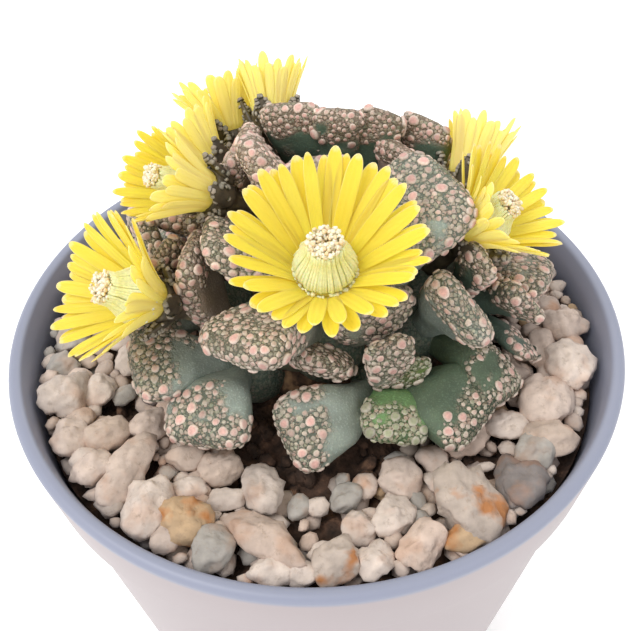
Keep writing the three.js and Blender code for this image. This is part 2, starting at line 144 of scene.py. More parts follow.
# Leaf skins, by name: their colour as an sRGB hex value, how much pinker their warts are, or
# greener below 0, and how far bare patches spread between the warts, from -0.5 for none.
SKINS = {
    "blue": ("#858E84", 0.1, 0.35),
    "grey": ("#787B6D", 0.2, 0.15),
    "pearl": ("#8A958C", 0.12, -0.5),
    "rosy": ("#B09A8E", 0.45, -0.5),
    "tan": ("#8E8072", 0.35, -0.5),
    "deep": ("#55665A", 0.3, 0.55),
    "shady": ("#566A5A", 0.5, -0.5),
    "moss": ("#53634F", 0.1, 0.75),
    "olive": ("#5A5C4A", 0.3, 0.2),
    "fresh": ("#688858", -0.9, 0.6),
    "young": ("#6E8446", -0.6, 0),
}

# One head for each growing point: where its crown lies on the rootstock, in degrees round from +X
# and up from level, and its leaves. A leaf is its tip's x, y and z, its width and its twist, its
# skin, where along it the warts begin, which way its barer side looks, in degrees round from +X,
# and how much further along the warts begin there.
HEADS = {
    "head_front_crown": (268, 42, [
        (-8.2, -13.2, 12.9, 10.2, 67, "grey", 0.5, 90, 0.25),
        (-9.8, -3.2, 17.9, 7.8, 58, "grey", 0.5, 0, 0.3),
        (-5.6, 6.8, 22, 8.4, 82, "rosy", 0.38, 0, 0),
        (1.3, 3.6, 20.5, 9, 20, "rosy", 0.45, 0, 0),
        (12.7, -1.1, 21.8, 11.4, -26, "pearl", 0.58, 205, 0.3),
        (7.6, -9.2, 13, 7.7, 60, "grey", 0.4, 0, 0),
    ]),
    "head_front_left": (222, 12, [
        (-13.5, -2.6, 14.8, 7.3, -78, "tan", 0.42, 0, 0.35),
        (-18.9, -9.7, 4.8, 8.3, 29, "blue", 0.6, 0, 0.35),
        (-12.5, -16.8, 2.3, 9.5, -24, "blue", 0.68, 20, 0.15),
        (2, -11.6, 7, 6.8, -100, "olive", 0.4, 0, 0),
    ]),
    "head_front_right": (300, 8, [
        (-2.6, -18, 1.6, 8.6, 8, "blue", 0.65, 0, 0.5),
        (7.8, -18, 2.4, 6.8, 45, "fresh", 0.72, 60, 0.2),
        (16.4, -15.9, 2.1, 9.4, -25, "moss", 0.85, 180, 0.15),
        (7.2, -13.6, 9.6, 5.3, -35, "grey", 0.4, 0, 0),
        (10.2, -12.7, 5.8, 4.4, -23, "young", 0.5, 0, 0),
    ]),
    "head_right_front": (328, 28, [
        (15.6, -11, 13.5, 8.6, 12, "pearl", 0.35, 0, 0),
        (20.6, -12.2, 1.6, 7.7, -10, "moss", 0.6, 270, 0.3),
        (17.9, -6.2, 15, 4.6, 80, "deep", 0.4, 0, 0),
    ]),
    "head_right": (2, 14, [
        (23.7, -5.8, 7.9, 5.8, -8, "deep", 0.6, 270, 0.4),
        (24.2, -7, 1, 4.6, 0, "deep", 0.75, 270, 0.2),
        (25.8, 0.4, 7, 8, 30, "grey", 0.55, 270, 0.3),
        (22, 3.4, 10.4, 8, 0, "grey", 0.5, 0, 0),
        (25.5, 5, 2.5, 9, 0, "blue", 0.6, 180, 0.2),
    ]),
    "head_top_right": (38, 40, [
        (13.3, 10.2, 20.6, 6.4, 8, "shady", 0.66, 270, 0.5),
        (20.5, 9, 12, 9, 0, "grey", 0.5, 180, 0.2),
        (10.5, 7.5, 19.3, 7, 0, "rosy", 0.45, 0, 0),
    ]),
    "head_left": (186, 20, [
        (-19.6, -5.8, 5.3, 4.8, -57, "blue", 0.55, 0, 0.2),
        (-16.6, -0.8, 13, 5, -30, "olive", 0.5, 0, 0),
        (-20.8, 6.6, 11.2, 5.6, -45, "grey", 0.45, 0, 0.1),
        (-20.5, 10.5, 3, 9, 0, "blue", 0.6, 0, 0.2),
    ]),
    "head_upper_left": (150, 42, [
        (-7.9, 7.9, 20.7, 7.6, 18, "rosy", 0.36, 0, 0),
        (-16.5, 11, 11, 9, 0, "rosy", 0.42, 0, 0.2),
    ]),
    "head_top": (88, 55, [
        (-1.9, 11.5, 22.6, 7.6, 12, "shady", 0.5, 270, 0.34),
        (3.5, 9.6, 22.8, 5.6, -10, "shady", 0.54, 270, 0.36),
        (8.3, 9.5, 22.4, 5.8, -40, "shady", 0.54, 270, 0.36),
        (3, 17.5, 17, 10, 0, "blue", 0.55, 270, 0.2),
    ]),
    "head_back_left": (132, 12, [
        (-15.5, 17.5, 4, 9.5, 0, "blue", 0.6, 0, 0.2),
        (-8.5, 23, 4.5, 9.5, 0, "blue", 0.6, 180, 0.2),
        (-8.5, 18, 12, 9, 0, "grey", 0.5, 0, 0),
    ]),
    "head_back": (88, 16, [
        (-0.5, 25, 6, 9.5, 0, "blue", 0.6, 180, 0.2),
        (8, 25.5, 4.5, 9.5, 0, "grey", 0.55, 0, 0.2),
        (4.5, 22.5, 12, 9, 0, "blue", 0.5, 0, 0),
    ]),
    "head_back_right": (45, 8, [
        (16, 22.5, 4, 9.5, 0, "blue", 0.6, 180, 0.2),
        (23, 14.5, 3.8, 9.5, 0, "grey", 0.6, 90, 0.2),
        (15, 18, 11.5, 8.6, 0, "blue", 0.5, 0, 0),
    ]),
}

# Flowers: the foot of the petals, where the flower leans and by how much from upright, how far
# out from its axis and up from its foot the petal tips reach, and how many petals it has.
Flower = namedtuple("Flower", "foot turn lean spread rise petals")
FLOWERS = {
    "front": Flower((1.1, -9.9, 15.8), 271, 20, 9.2, 9.6, 44),
    "left": Flower((-15.9, -5.4, 9.3), 200, 52, 7.8, 8.8, 38),
    "upper_left": Flower((-10.3, 2.7, 17), 200, 54, 5, 8.8, 34),
    "back_left": Flower((-10.4, 9.6, 14.6), 144, 55, 5, 6.8, 32),
    "top_left": Flower((-8.7, 16, 14.4), 112, 41, 5.5, 7.4, 32),
    "top": Flower((-4, 14.4, 17.6), 89, 39, 4, 7.1, 28),
    "right": Flower((16.2, -1.5, 13.4), 352, 38, 6.7, 7.6, 36),
    "back_right": Flower((16.8, 5.2, 15), 68, 46, 4.2, 7.5, 28),
}
PETAL = {"root": 2.1, "root_height": 0.9, "width": 1.55, "thickness": 0.14, "layers": (1, 0.9, 0.95, 0.84)}
STAMENS = {
    "radius": 2.9,
    "share": 0.39,
    "foot": 2.3,
    "top": 0.86,
    "tip": 1.6,
    "thread": 0.2,
    "thread_tip": 0.14,
    "staminodes": 72,
}
CALYX = {
    "sepals": 5,
    "depth": 6.5,
    "stalk": 1.15,
    "mouth": 2.5,
    "rim": 0.7,
    "lobe": 2.7,
    "lobe_width": 3.1,
    "lobe_depth": 1.1,
    "warts": 24,
    "wart_radius": (0.2, 0.42),
}

# Stones' colours, by name: the sRGB hex value, and the share of the scattered stones that have it.
STONE_COLOURS = {
    "cream": ("#D0C1B6", 0.24),
    "buff": ("#C7B5A9", 0.24),
    "sand": ("#BFAC9E", 0.2),
    "ochre": ("#B89C7C", 0.05),
    "bark": ("#C9B4A6", 0.08),
    "grey": ("#A9A39C", 0.11),
    "slate": ("#857D7A", 0.03),
    "white": ("#B9AA9E", 0.05),
}

# The stones that lie in front: x and y, length, breadth, the angle they lie at and their colour.
STONES = [
    (-29.7, -7.9, 6, 5.2, 50, "cream"),
    (-28.6, -14.1, 5.4, 3.9, 115, "buff"),
    (-26.2, -10.8, 3.4, 2.9, 90, "sand"),
    (-23.1, -13.0, 4.8, 4.1, 25, "sand"),
    (-20.3, -17.9, 9.1, 4, 65, "buff"),
    (-18.2, -23.0, 6.6, 5, 75, "cream"),
    (-26.2, -19.1, 4.7, 3.8, 10, "buff"),
    (-23.2, -22.9, 3.2, 2.4, -25, "cream"),
    (-10.5, -17.4, 4.4, 3.9, 0, "sand"),
    (-13.9, -20.0, 3.6, 2.8, 0, "cream"),
    (-13.8, -24.4, 5.7, 4.7, 20, "ochre"),
    (-9.9, -21.3, 4.4, 2.6, 0, "cream"),
    (-6.2, -20.5, 5.8, 4.2, 100, "cream"),
    (-6.1, -26.4, 10.4, 4.2, -35, "bark"),
    (-11.4, -29.1, 4.8, 3.7, 85, "grey"),
    (-5.3, -31.4, 4.5, 3.2, 0, "cream"),
    (-2.2, -31.3, 3, 2.7, 0, "cream"),
    (-16.4, -28.0, 4.6, 3.1, 20, "buff"),
    (-28.8, 1.6, 5.3, 3.6, 90, "grey"),
    (-29.4, -2.6, 3.7, 3, 0, "grey"),
    (-28.2, 12.4, 5.6, 4, 95, "bark"),
    (-29.2, 7.2, 4.6, 3.6, 80, "buff"),
    (8.2, -19.7, 4.5, 4, -50, "buff"),
    (14.6, -23.6, 8, 6.2, -70, "white"),
    (7.2, -24.7, 4.6, 3.8, 60, "cream"),
    (3.5, -25.7, 3.8, 3.4, 0, "cream"),
    (2.4, -22.0, 3.8, 3.2, 30, "grey"),
    (-0.3, -28.2, 2.6, 2.3, 0, "cream"),
    (5, -29.6, 4.2, 3.5, 70, "cream"),
    (9.8, -28.8, 5.6, 3.8, 50, "bark"),
    (1.2, -31.1, 5.4, 4.2, 50, "white"),
    (16.4, -28.7, 6.4, 3.1, 25, "ochre"),
    (19.6, -21.1, 7, 3.3, -85, "slate"),
    (22.6, -17.3, 4.6, 3.8, 55, "grey"),
    (22.9, -23.3, 6, 3.9, 70, "slate"),
    (25.2, -10.7, 7.2, 5.4, 65, "buff"),
    (29.4, -6.3, 6.6, 5, -80, "cream"),
    (26.8, -17.7, 5.6, 4.1, -30, "sand"),
    (29.4, 0.5, 4.8, 4.4, 0, "buff"),
    (26.2, -2.8, 5.6, 3.4, 75, "buff"),
]
STONE = {"seed": 11, "sink": 0.6, "thickness": 0.66, "reach": 0.56, "tilt": 12}
FILLER = {"count": 30, "tries": 4000, "ring": 26, "spread": 10, "size": 4.5}

CAMERA = {
    "target": (0.36, 0.86, 0),
    "distance": 109.9,
    "elevation": 46.28,
    "roll": -1.93,
    "focal_length": 53.77,
    "sensor_width": 36,
}
# Softboxes, by name: where each stands and how long its sides are, in metres.
SOFTBOXES = {
    "key": ((-0.75, -0.45, 1.35), 0.8),
    "fill": ((0.9, -0.6, 0.9), 0.9),
    "back": ((0.2, 1.2, 0.9), 0.9),
}


# Colours, numbers and vectors.


def linear(hex_colour):
    """Red, green and blue in linear light, from an sRGB hex value."""
    values = [int(hex_colour[i:i + 2], 16) / 255 for i in (1, 3, 5)]
    return tuple(v / 12.92 if v <= 0.04045 else ((v + 0.055) / 1.055) ** 2.4 for v in values)


def opaque(colour):
    """The colour with an alpha of 1."""
    return (colour[0], colour[1], colour[2], 1)


def blend(first, second, share):
    """The first colour where the share is 0, the second where it is 1, and their mixtures."""
    return np.array(first) * (1 - share) + np.array(second) * share


def cells_of(size):
    """A texture's scale, from the size in millimetres that one of its cells has."""
    return 1000 / size


def smoothstep(value, low, high):
    """Rises smoothly from 0 at low to 1 at high, as 3t^2 - 2t^3."""
    t = np.clip((value - low) / (high - low), 0, 1)
    return t * t * (3 - 2 * t)


def unit(vectors):
    """The vectors, each made 1 long."""
    return vectors / np.linalg.norm(vectors, axis=-1, keepdims=True)


def round_turn(count):
    """Angles spread evenly round a whole turn, from 0."""
    return np.linspace(0, 2 * np.pi, count, endpoint=False)


def polar(out, around, up):
    """Points at a distance out from the axis, an angle round it and a height."""
    return np.stack(np.broadcast_arrays(out * np.cos(around), out * np.sin(around), up), axis=-1)


def swung(out, side, up, around):
    """Points at a distance out along the direction around, and to its left, and at a height."""
    return polar(out, around, up) + polar(side, around + np.pi / 2, 0)


def spun(first, second, angle):
    """Two coordinates, or two vectors, after a turn by the angle in their plane."""
    return first * np.cos(angle) - second * np.sin(angle), first * np.sin(angle) + second * np.cos(angle)


def unit_ball(rings, sides):
    """A ball's points without its poles, in rings: (sin v cos a, sin v sin a, -cos v)."""
    v = np.linspace(0, np.pi, rings + 2)[1:-1, None]
    return polar(np.sin(v), round_turn(sides), -np.cos(v))


def upward(turn, lean):
    """The unit vector that leans that many degrees from upright, towards turn degrees from +X."""
    around, tilt = math.radians(turn), math.radians(lean)
    return np.array([math.sin(tilt) * math.cos(around), math.sin(tilt) * math.sin(around), math.cos(tilt)])


def turned_to(axis):
    """The matrix of the shortest turn that takes +Z to axis: I + K + K^2 / (1 + z), K being the
    cross product matrix of their common normal."""
    x, y, z = axis
    cross = np.array([[0, 0, x], [0, 0, y], [-x, -y, 0]])
    return np.eye(3) + cross + cross @ cross / (1 + z)


def ripples(points, size, seed, waves=14):
    """A smooth random field, about -1 to 1: a sum of cosine waves of random direction and phase,
    whose lengths are round about size."""
    random = np.random.default_rng(seed)
    directions = unit(random.normal(size=(3, waves)).T).T
    lengths = size * random.uniform(0.6, 1.6, waves)
    phases = random.uniform(0, 2 * np.pi, waves)
    return np.cos(points @ (2 * np.pi * directions / lengths) + phases).sum(axis=-1) / math.sqrt(waves)


def to_metres(points):
    """Points in the frame's metres, from millimetres measured from the rim's middle."""
    return (points + np.array([0, 0, RIM_HEIGHT])) / 1000


# Meshes.


def tubes(grid, first, last, slot=0, **values):
    """Closed tubes, as a dict of points, faces and values. grid is an array of copies, rings,
    sides and xyz whose sides run anticlockwise about the way that the rings go. Each copy's
    ends close at the points first and last. A value is one per point of the grid, or per copy."""
    copies, rings, sides = grid.shape[:3]
    ends = [np.reshape(end, (copies, 1, 3)) for end in (first, last)]
    points = np.concatenate([grid.reshape(copies, -1, 3), *ends], axis=1)
    ring, side = np.meshgrid(np.arange(rings - 1), np.arange(sides), indexing="ij")
    here, beside = ring * sides + side, ring * sides + (side + 1) % sides
    quads = np.stack([here, beside, beside + sides, here + sides], axis=-1).reshape(-1, 4)
    side = np.arange(sides)
    beside = (side + 1) % sides
    last_ring = (rings - 1) * sides
    start = np.stack([beside, side, np.full(sides, rings * sides)], axis=-1)
    finish = np.stack([last_ring + side, last_ring + beside, np.full(sides, rings * sides + 1)], axis=-1)
    triangles = np.concatenate([start, finish])
    offsets = np.arange(copies)[:, None, None] * (rings * sides + 2)
    spread_values = {name: over_points(value, copies, rings, sides) for name, value in values.items()}
    return {
        "points": points.reshape(-1, 3),
        "quads": (quads + offsets).reshape(-1, 4),
        "triangles": (triangles + offsets).reshape(-1, 3),
        "slot": slot,
        "values": spread_values,
    }


def end_middles(grid):
    """The middles of the first and the last ring of each copy, where tubes may close."""
    return grid[:, 0].mean(axis=1), grid[:, -1].mean(axis=1)


def over_points(value, copies, rings, sides):
    """A value for every point of closed tubes. The ends take their nearest ring's."""
    value = np.asarray(value, dtype=float)
    if value.ndim == 0 or value.shape[-1] != 3:
        value = value[..., None]
    while value.ndim < 4:
        value = value[..., None, :] if value.ndim > 1 else value[None]
    full = np.broadcast_to(value, (copies, rings, sides, value.shape[-1]))
    inner = full.reshape(copies, rings * sides, -1)
    whole = np.concatenate([inner, full[:, 0, :1], full[:, -1, :1]], axis=1)
    return whole.reshape(copies * (rings * sides + 2), -1)


def mesh_of(name, patches):
    """One mesh of several patches, with their values as attributes of its points."""
    counts = [len(patch["points"]) for patch in patches]
    offsets = np.concatenate([[0], np.cumsum(counts)[:-1]])
    points = to_metres(np.concatenate([patch["points"] for patch in patches]))
    quads = np.concatenate([patch["quads"] + shift for patch, shift in zip(patches, offsets)])
    triangles = np.concatenate([patch["triangles"] + shift for patch, shift in zip(patches, offsets)])
    groups = [(patch[kind], patch["slot"]) for kind in ("quads", "triangles") for patch in patches]
    slots = np.concatenate([np.full(len(faces), number) for faces, number in groups])
    corners = np.concatenate([quads.ravel(), triangles.ravel()])
    sizes = np.concatenate([np.full(len(quads), 4), np.full(len(triangles), 3)])
    mesh = bpy.data.meshes.new(name)
    mesh.vertices.add(len(points))
    mesh.vertices.foreach_set("co", points.ravel())
    mesh.loops.add(len(corners))
    mesh.loops.foreach_set("vertex_index", corners.astype(np.int32))
    mesh.polygons.add(len(sizes))
    mesh.polygons.foreach_set("loop_start", (np.cumsum(sizes) - sizes).astype(np.int32))
    mesh.polygons.foreach_set("material_index", slots.astype(np.int32))
    mesh.polygons.foreach_set("use_smooth", np.ones(len(sizes), dtype=bool))
    mesh.update(calc_edges=True)
    for key in patches[0]["values"]:
        values = np.concatenate([patch["values"][key] for patch in patches])
        if values.shape[1] == 1:
            mesh.attributes.new(key, "FLOAT", "POINT").data.foreach_set("value", values.ravel())
        else:
            colours = np.concatenate([values, np.ones((len(values), 1))], axis=1)
            mesh.attributes.new(key, "FLOAT_COLOR", "POINT").data.foreach_set("color", colours.ravel())
    return mesh


def add_object(name, data):
    """A new object in the scene's collection."""
    made = bpy.data.objects.new(name, data)
    bpy.context.collection.objects.link(made)
    return made


def add_piece(name, patches, materials, nodes):
    """One object of several patches, which replaces the CAD nodes named and rides with the pot."""
    mesh = mesh_of(name, patches)
    for material in materials:
        mesh.materials.append(material)
    piece = add_object(name, mesh)
    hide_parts(*nodes)
    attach(piece, "root")
    return piece


# Nodes of materials.


def start_material(name):
    """A new material, its node tree and its shader node."""
    material = bpy.data.materials.new(name)
    material.use_nodes = True
    tree = material.node_tree
    return material, tree, tree.nodes["Principled BSDF"]


def set_inputs(node, inputs):
    """Gives a node's sockets their values, or links them to other nodes' sockets. A whole node
    stands for its first output in use."""
    for key, value in inputs.items():
        if isinstance(value, bpy.types.Node):
            value = next(socket for socket in value.outputs if socket.enabled)
        if isinstance(value, bpy.types.NodeSocket):
            node.id_data.links.new(value, node.inputs[key])
        else:
            node.inputs[key].default_value = value


def add_node(tree, kind, inputs=None, stops=None, **settings):
    """Adds a node with its settings and its inputs. stops are the places and colours of a ramp."""
    made = tree.nodes.new(kind)
    for key, value in settings.items():
        setattr(made, key, value)
    set_inputs(made, inputs or {})
    if stops:
        elements = made.color_ramp.elements
        while len(elements) < len(stops):
            elements.new(0.5)
        for element, (place, colour) in zip(elements, stops):
            element.position = place
            element.color = opaque(colour)
    return made


def moulded_plastic(settings):
    """Injection-moulded polypropylene: a satin skin with a faint orange peel. The rim and the
    inside are blue-grey, and the outer wall is painted a paler, warmer grey, as painted light
    for the brighter light on it, with a soft line between them just under the rim."""
    material, tree, shader = start_material("Moulded polypropylene, satin")
    place = add_node(tree, "ShaderNodeTexCoord").outputs["Object"]
    parts = add_node(tree, "ShaderNodeSeparateXYZ", {0: place})
    flat = add_node(tree, "ShaderNodeCombineXYZ", {0: parts.outputs[0], 1: parts.outputs[1]})
    radius = add_node(tree, "ShaderNodeVectorMath", {0: flat}, operation="LENGTH")
    # How far out a point lies from the cone halfway through the wall.
    middle = add_node(tree, "ShaderNodeMath", {
        0: parts.outputs[2], 1: WALL_LEAN, 2: (POT["foot"] - 0.5 * POT["wall"]) / 1000,
    }, operation="MULTIPLY_ADD")
    outward = add_node(tree, "ShaderNodeMath", {0: radius, 1: middle}, operation="SUBTRACT")
    outside = add_node(tree, "ShaderNodeMapRange", {"Value": outward, "From Min": 0, "From Max": 0.0002})
    below_rim = add_node(tree, "ShaderNodeMapRange", {
        "Value": parts.outputs[2],
        "From Min": (RIM_HEIGHT - 0.9) / 1000,
        "From Max": (RIM_HEIGHT - 1.5) / 1000,
    })
    # pale marks the outer wall below the rim, which gets the paler, warmer painted light.
    pale = add_node(tree, "ShaderNodeMath", {0: outside, 1: below_rim}, operation="MULTIPLY")
    cloud = add_node(tree, "ShaderNodeTexNoise", {"Vector": place, "Scale": cells_of(18), "Detail": 2})
    wall = add_node(tree, "ShaderNodeMix", {
        "Factor": cloud, "A": opaque(settings.painted_lit_wall_colour), "B": opaque(settings.painted_lit_wall_blush),
    }, data_type="RGBA")
    colour = add_node(tree, "ShaderNodeMix", {
        "Factor": pale, "A": opaque(settings.rim_colour), "B": wall,
    }, data_type="RGBA")
    peel = add_node(tree, "ShaderNodeTexNoise", {"Vector": place, "Scale": cells_of(0.7), "Detail": 3})
    bump = add_node(tree, "ShaderNodeBump", {"Height": peel, "Strength": 0.12, "Distance": 0.00005})
    set_inputs(shader, {"Base Color": colour, "Normal": bump, "Roughness": 0.42, "IOR": 1.49})
    return material


def potting_soil():
    """Peat and composted bark: matt, dark brown, with redder bark and paler fibres."""
    material, tree, shader = start_material("Peat and bark compost, matt")
    place = add_node(tree, "ShaderNodeTexCoord").outputs["Object"]
    lumps = add_node(tree, "ShaderNodeTexNoise", {"Vector": place, "Scale": cells_of(1.6), "Detail": 6})
    colour = add_node(tree, "ShaderNodeValToRGB", {"Fac": lumps}, stops=[
        (0.3, linear("#2A1F19")),
        (0.48, linear("#453328")),
        (0.6, linear("#5C4436")),
        (0.74, linear("#886750")),
    ])
    crumbs = add_node(tree, "ShaderNodeTexVoronoi", {"Vector": place, "Scale": cells_of(0.5)})
    bump = add_node(tree, "ShaderNodeBump", {"Height": crumbs, "Strength": 0.8, "Distance": 0.0002})
    set_inputs(shader, {"Base Color": colour, "Normal": bump, "Roughness": 0.95})
    return material


def corky_bark():
    """Old rootstock skin: matt cork with dry, papery leaf remains, brown with paler flakes."""
    material, tree, shader = start_material("Corky root bark, dry")
    place = add_node(tree, "ShaderNodeTexCoord").outputs["Object"]
    flakes = add_node(tree, "ShaderNodeTexNoise", {"Vector": place, "Scale": cells_of(1.2), "Detail": 5})
    colour = add_node(tree, "ShaderNodeValToRGB", {"Fac": flakes}, stops=[
        (0.35, linear("#2E2219")),
        (0.5, linear("#5A4230")),
        (0.7, linear("#9C7B5A")),
    ])
    bump = add_node(tree, "ShaderNodeBump", {"Height": flakes, "Strength": 0.7, "Distance": 0.0003})
    set_inputs(shader, {"Base Color": colour, "Normal": bump, "Roughness": 0.85})
    return material


def pumice_grit():
    """Pumice and river grit: matt and gritty, each stone with its own colour, clouded, pitted
    with small pores that are darkened as painted shade, and stained ochre in places by iron."""
    material, tree, shader = start_material("Pumice and river grit, matt")
    place = add_node(tree, "ShaderNodeTexCoord").outputs["Object"]
    own = add_node(tree, "ShaderNodeAttribute", attribute_name="stone_colour").outputs["Color"]
    stain = add_node(tree, "ShaderNodeAttribute", attribute_name="stain").outputs["Fac"]
    cloud = add_node(tree, "ShaderNodeTexNoise", {"Vector": place, "Scale": cells_of(1.3), "Detail": 5})
    light = add_node(tree, "ShaderNodeMapRange", {
        "Value": cloud, "From Min": 0.3, "From Max": 0.7, "To Min": 0.8, "To Max": 1.1,
    })
    shaded = add_node(tree, "ShaderNodeVectorMath", {0: own, 3: light}, operation="SCALE")
    patches = add_node(tree, "ShaderNodeTexNoise", {"Vector": place, "Scale": cells_of(3.4), "Detail": 3})
    rusty = add_node(tree, "ShaderNodeMapRange", {"Value": patches, "From Min": 0.52, "From Max": 0.66})
    stained = add_node(tree, "ShaderNodeMath", {0: rusty, 1: stain}, operation="MULTIPLY")
    toned = add_node(tree, "ShaderNodeMix", {
        "Factor": stained, "A": shaded, "B": opaque(linear("#B4743C")),
    }, data_type="RGBA")
    pores = add_node(tree, "ShaderNodeTexNoise", {
        "Vector": place, "Scale": cells_of(0.9), "Detail": 5, "Roughness": 0.7,
    })
    pore = add_node(tree, "ShaderNodeMapRange", {
        "Value": pores, "From Min": 0.56, "From Max": 0.74, "To Max": 0.55,
    })
    # Painted shade: the colour darkens in the pores.
    colour = add_node(tree, "ShaderNodeMix", {
        "Factor": pore, "A": toned, "B": opaque(linear("#8A7766")),
    }, data_type="RGBA")
    grain = add_node(tree, "ShaderNodeTexNoise", {"Vector": place, "Scale": cells_of(0.35), "Detail": 4})
    height = add_node(tree, "ShaderNodeMath", {0: grain, 1: pore}, operation="SUBTRACT")
    bump = add_node(tree, "ShaderNodeBump", {"Height": height, "Strength": 0.55, "Distance": 0.00012})
    set_inputs(shader, {"Base Color": colour, "Normal": bump, "Roughness": 0.9})
    return material


def waxy_skin():
    """Living leaf skin: a thin wax bloom over green, matt, speckled finely with pale dots where it
    is smooth. Where the warts stand, the finest ones cobble it all over, in uneven cells, with
    the skin's colour darkened in the seams between them as painted shade."""
    material, tree, shader = start_material("Leaf skin, waxy bloom")
    place = add_node(tree, "ShaderNodeTexCoord").outputs["Object"]
    own = add_node(tree, "ShaderNodeAttribute", attribute_name="skin_colour").outputs["Color"]
    warty = add_node(tree, "ShaderNodeAttribute", attribute_name="warty").outputs["Fac"]
    cloud = add_node(tree, "ShaderNodeTexNoise", {"Vector": place, "Scale": cells_of(2.6), "Detail": 4})
    light = add_node(tree, "ShaderNodeMapRange", {
        "Value": cloud, "From Min": 0.3, "From Max": 0.7, "To Min": 0.78, "To Max": 1.18,
    })
    shaded = add_node(tree, "ShaderNodeVectorMath", {0: own, 3: light}, operation="SCALE")
    speck = add_node(tree, "ShaderNodeTexNoise", {"Vector": place, "Scale": cells_of(0.22), "Detail": 2})
    speckled = add_node(tree, "ShaderNodeMapRange", {
        "Value": speck, "From Min": 0.54, "From Max": 0.66, "To Max": 0.4,
    })
    speck_colour = add_node(tree, "ShaderNodeVectorMath", {0: own, 3: 1.9}, operation="SCALE")
    dotted = add_node(tree, "ShaderNodeMix", {
        "Factor": speckled, "A": shaded, "B": speck_colour,
    }, data_type="RGBA")
    # Round beads 0.5 mm apart, that part where they would touch, and finer ones between them.
    beads = add_node(tree, "ShaderNodeTexVoronoi", {
        "Vector": place, "Scale": cells_of(0.5), "Randomness": 0.9,
    })
    seams = add_node(tree, "ShaderNodeTexVoronoi", {
        "Vector": place, "Scale": cells_of(0.5), "Randomness": 0.9,
    }, feature="DISTANCE_TO_EDGE")
    fine = add_node(tree, "ShaderNodeTexVoronoi", {"Vector": place, "Scale": cells_of(0.26)})
    rounded_off = add_node(tree, "ShaderNodeMapRange", {
        "Value": beads, "From Min": 0.6, "From Max": 0.42,
    })
    parted = add_node(tree, "ShaderNodeMapRange", {"Value": seams, "From Min": 0.02, "From Max": 0.1})
    bead = add_node(tree, "ShaderNodeMath", {0: rounded_off, 1: parted}, operation="MULTIPLY")
    fine_bead = add_node(tree, "ShaderNodeMapRange", {"Value": fine, "From Min": 0.56, "From Max": 0.36})
    chance = add_node(tree, "ShaderNodeSeparateColor", {0: beads.outputs["Color"]})
    chalky = add_node(tree, "ShaderNodeValToRGB", {"Fac": chance}, stops=[
        (0, linear("#8C8D74")),
        (0.35, linear("#A69E88")),
        (0.7, linear("#B8A491")),
        (1, linear("#C6A496")),
    ])
    patchy = add_node(tree, "ShaderNodeMapRange", {
        "Value": cloud, "From Min": 0.36, "From Max": 0.6, "To Min": 0.45, "To Max": 0.92,
    })
    cobble = add_node(tree, "ShaderNodeMix", {"Factor": patchy, "A": own, "B": chalky}, data_type="RGBA")
    # Painted shade: the skin's colour darkened in the seams between the beads, and the finer beads there
    # dimmed.
    dark = add_node(tree, "ShaderNodeVectorMath", {0: own, 1: (0.42, 0.42, 0.36)}, operation="MULTIPLY")
    pale = add_node(tree, "ShaderNodeVectorMath", {0: cobble, 3: 0.72}, operation="SCALE")
    between = add_node(tree, "ShaderNodeMix", {
        "Factor": fine_bead, "A": dark, "B": pale,
    }, data_type="RGBA")
    cobbled = add_node(tree, "ShaderNodeMix", {
        "Factor": bead, "A": between, "B": cobble,
    }, data_type="RGBA")
    colour = add_node(tree, "ShaderNodeMix", {
        "Factor": warty, "A": dotted, "B": cobbled,
    }, data_type="RGBA")
    swell = add_node(tree, "ShaderNodeMath", {0: fine_bead, 1: 0.4, 2: bead}, operation="MULTIPLY_ADD")
    raised = add_node(tree, "ShaderNodeMath", {0: swell, 1: warty}, operation="MULTIPLY")
    relief = add_node(tree, "ShaderNodeMath", {0: raised, 1: 3, 2: speck}, operation="MULTIPLY_ADD")
    bump = add_node(tree, "ShaderNodeBump", {"Height": relief, "Strength": 0.8, "Distance": 0.00008})
    set_inputs(shader, {
        "Base Color": colour,
        "Normal": bump,
        "Roughness": 0.66,
        "Subsurface Weight": 0.08,
        "Subsurface Scale": 0.0008,
    })
    return material


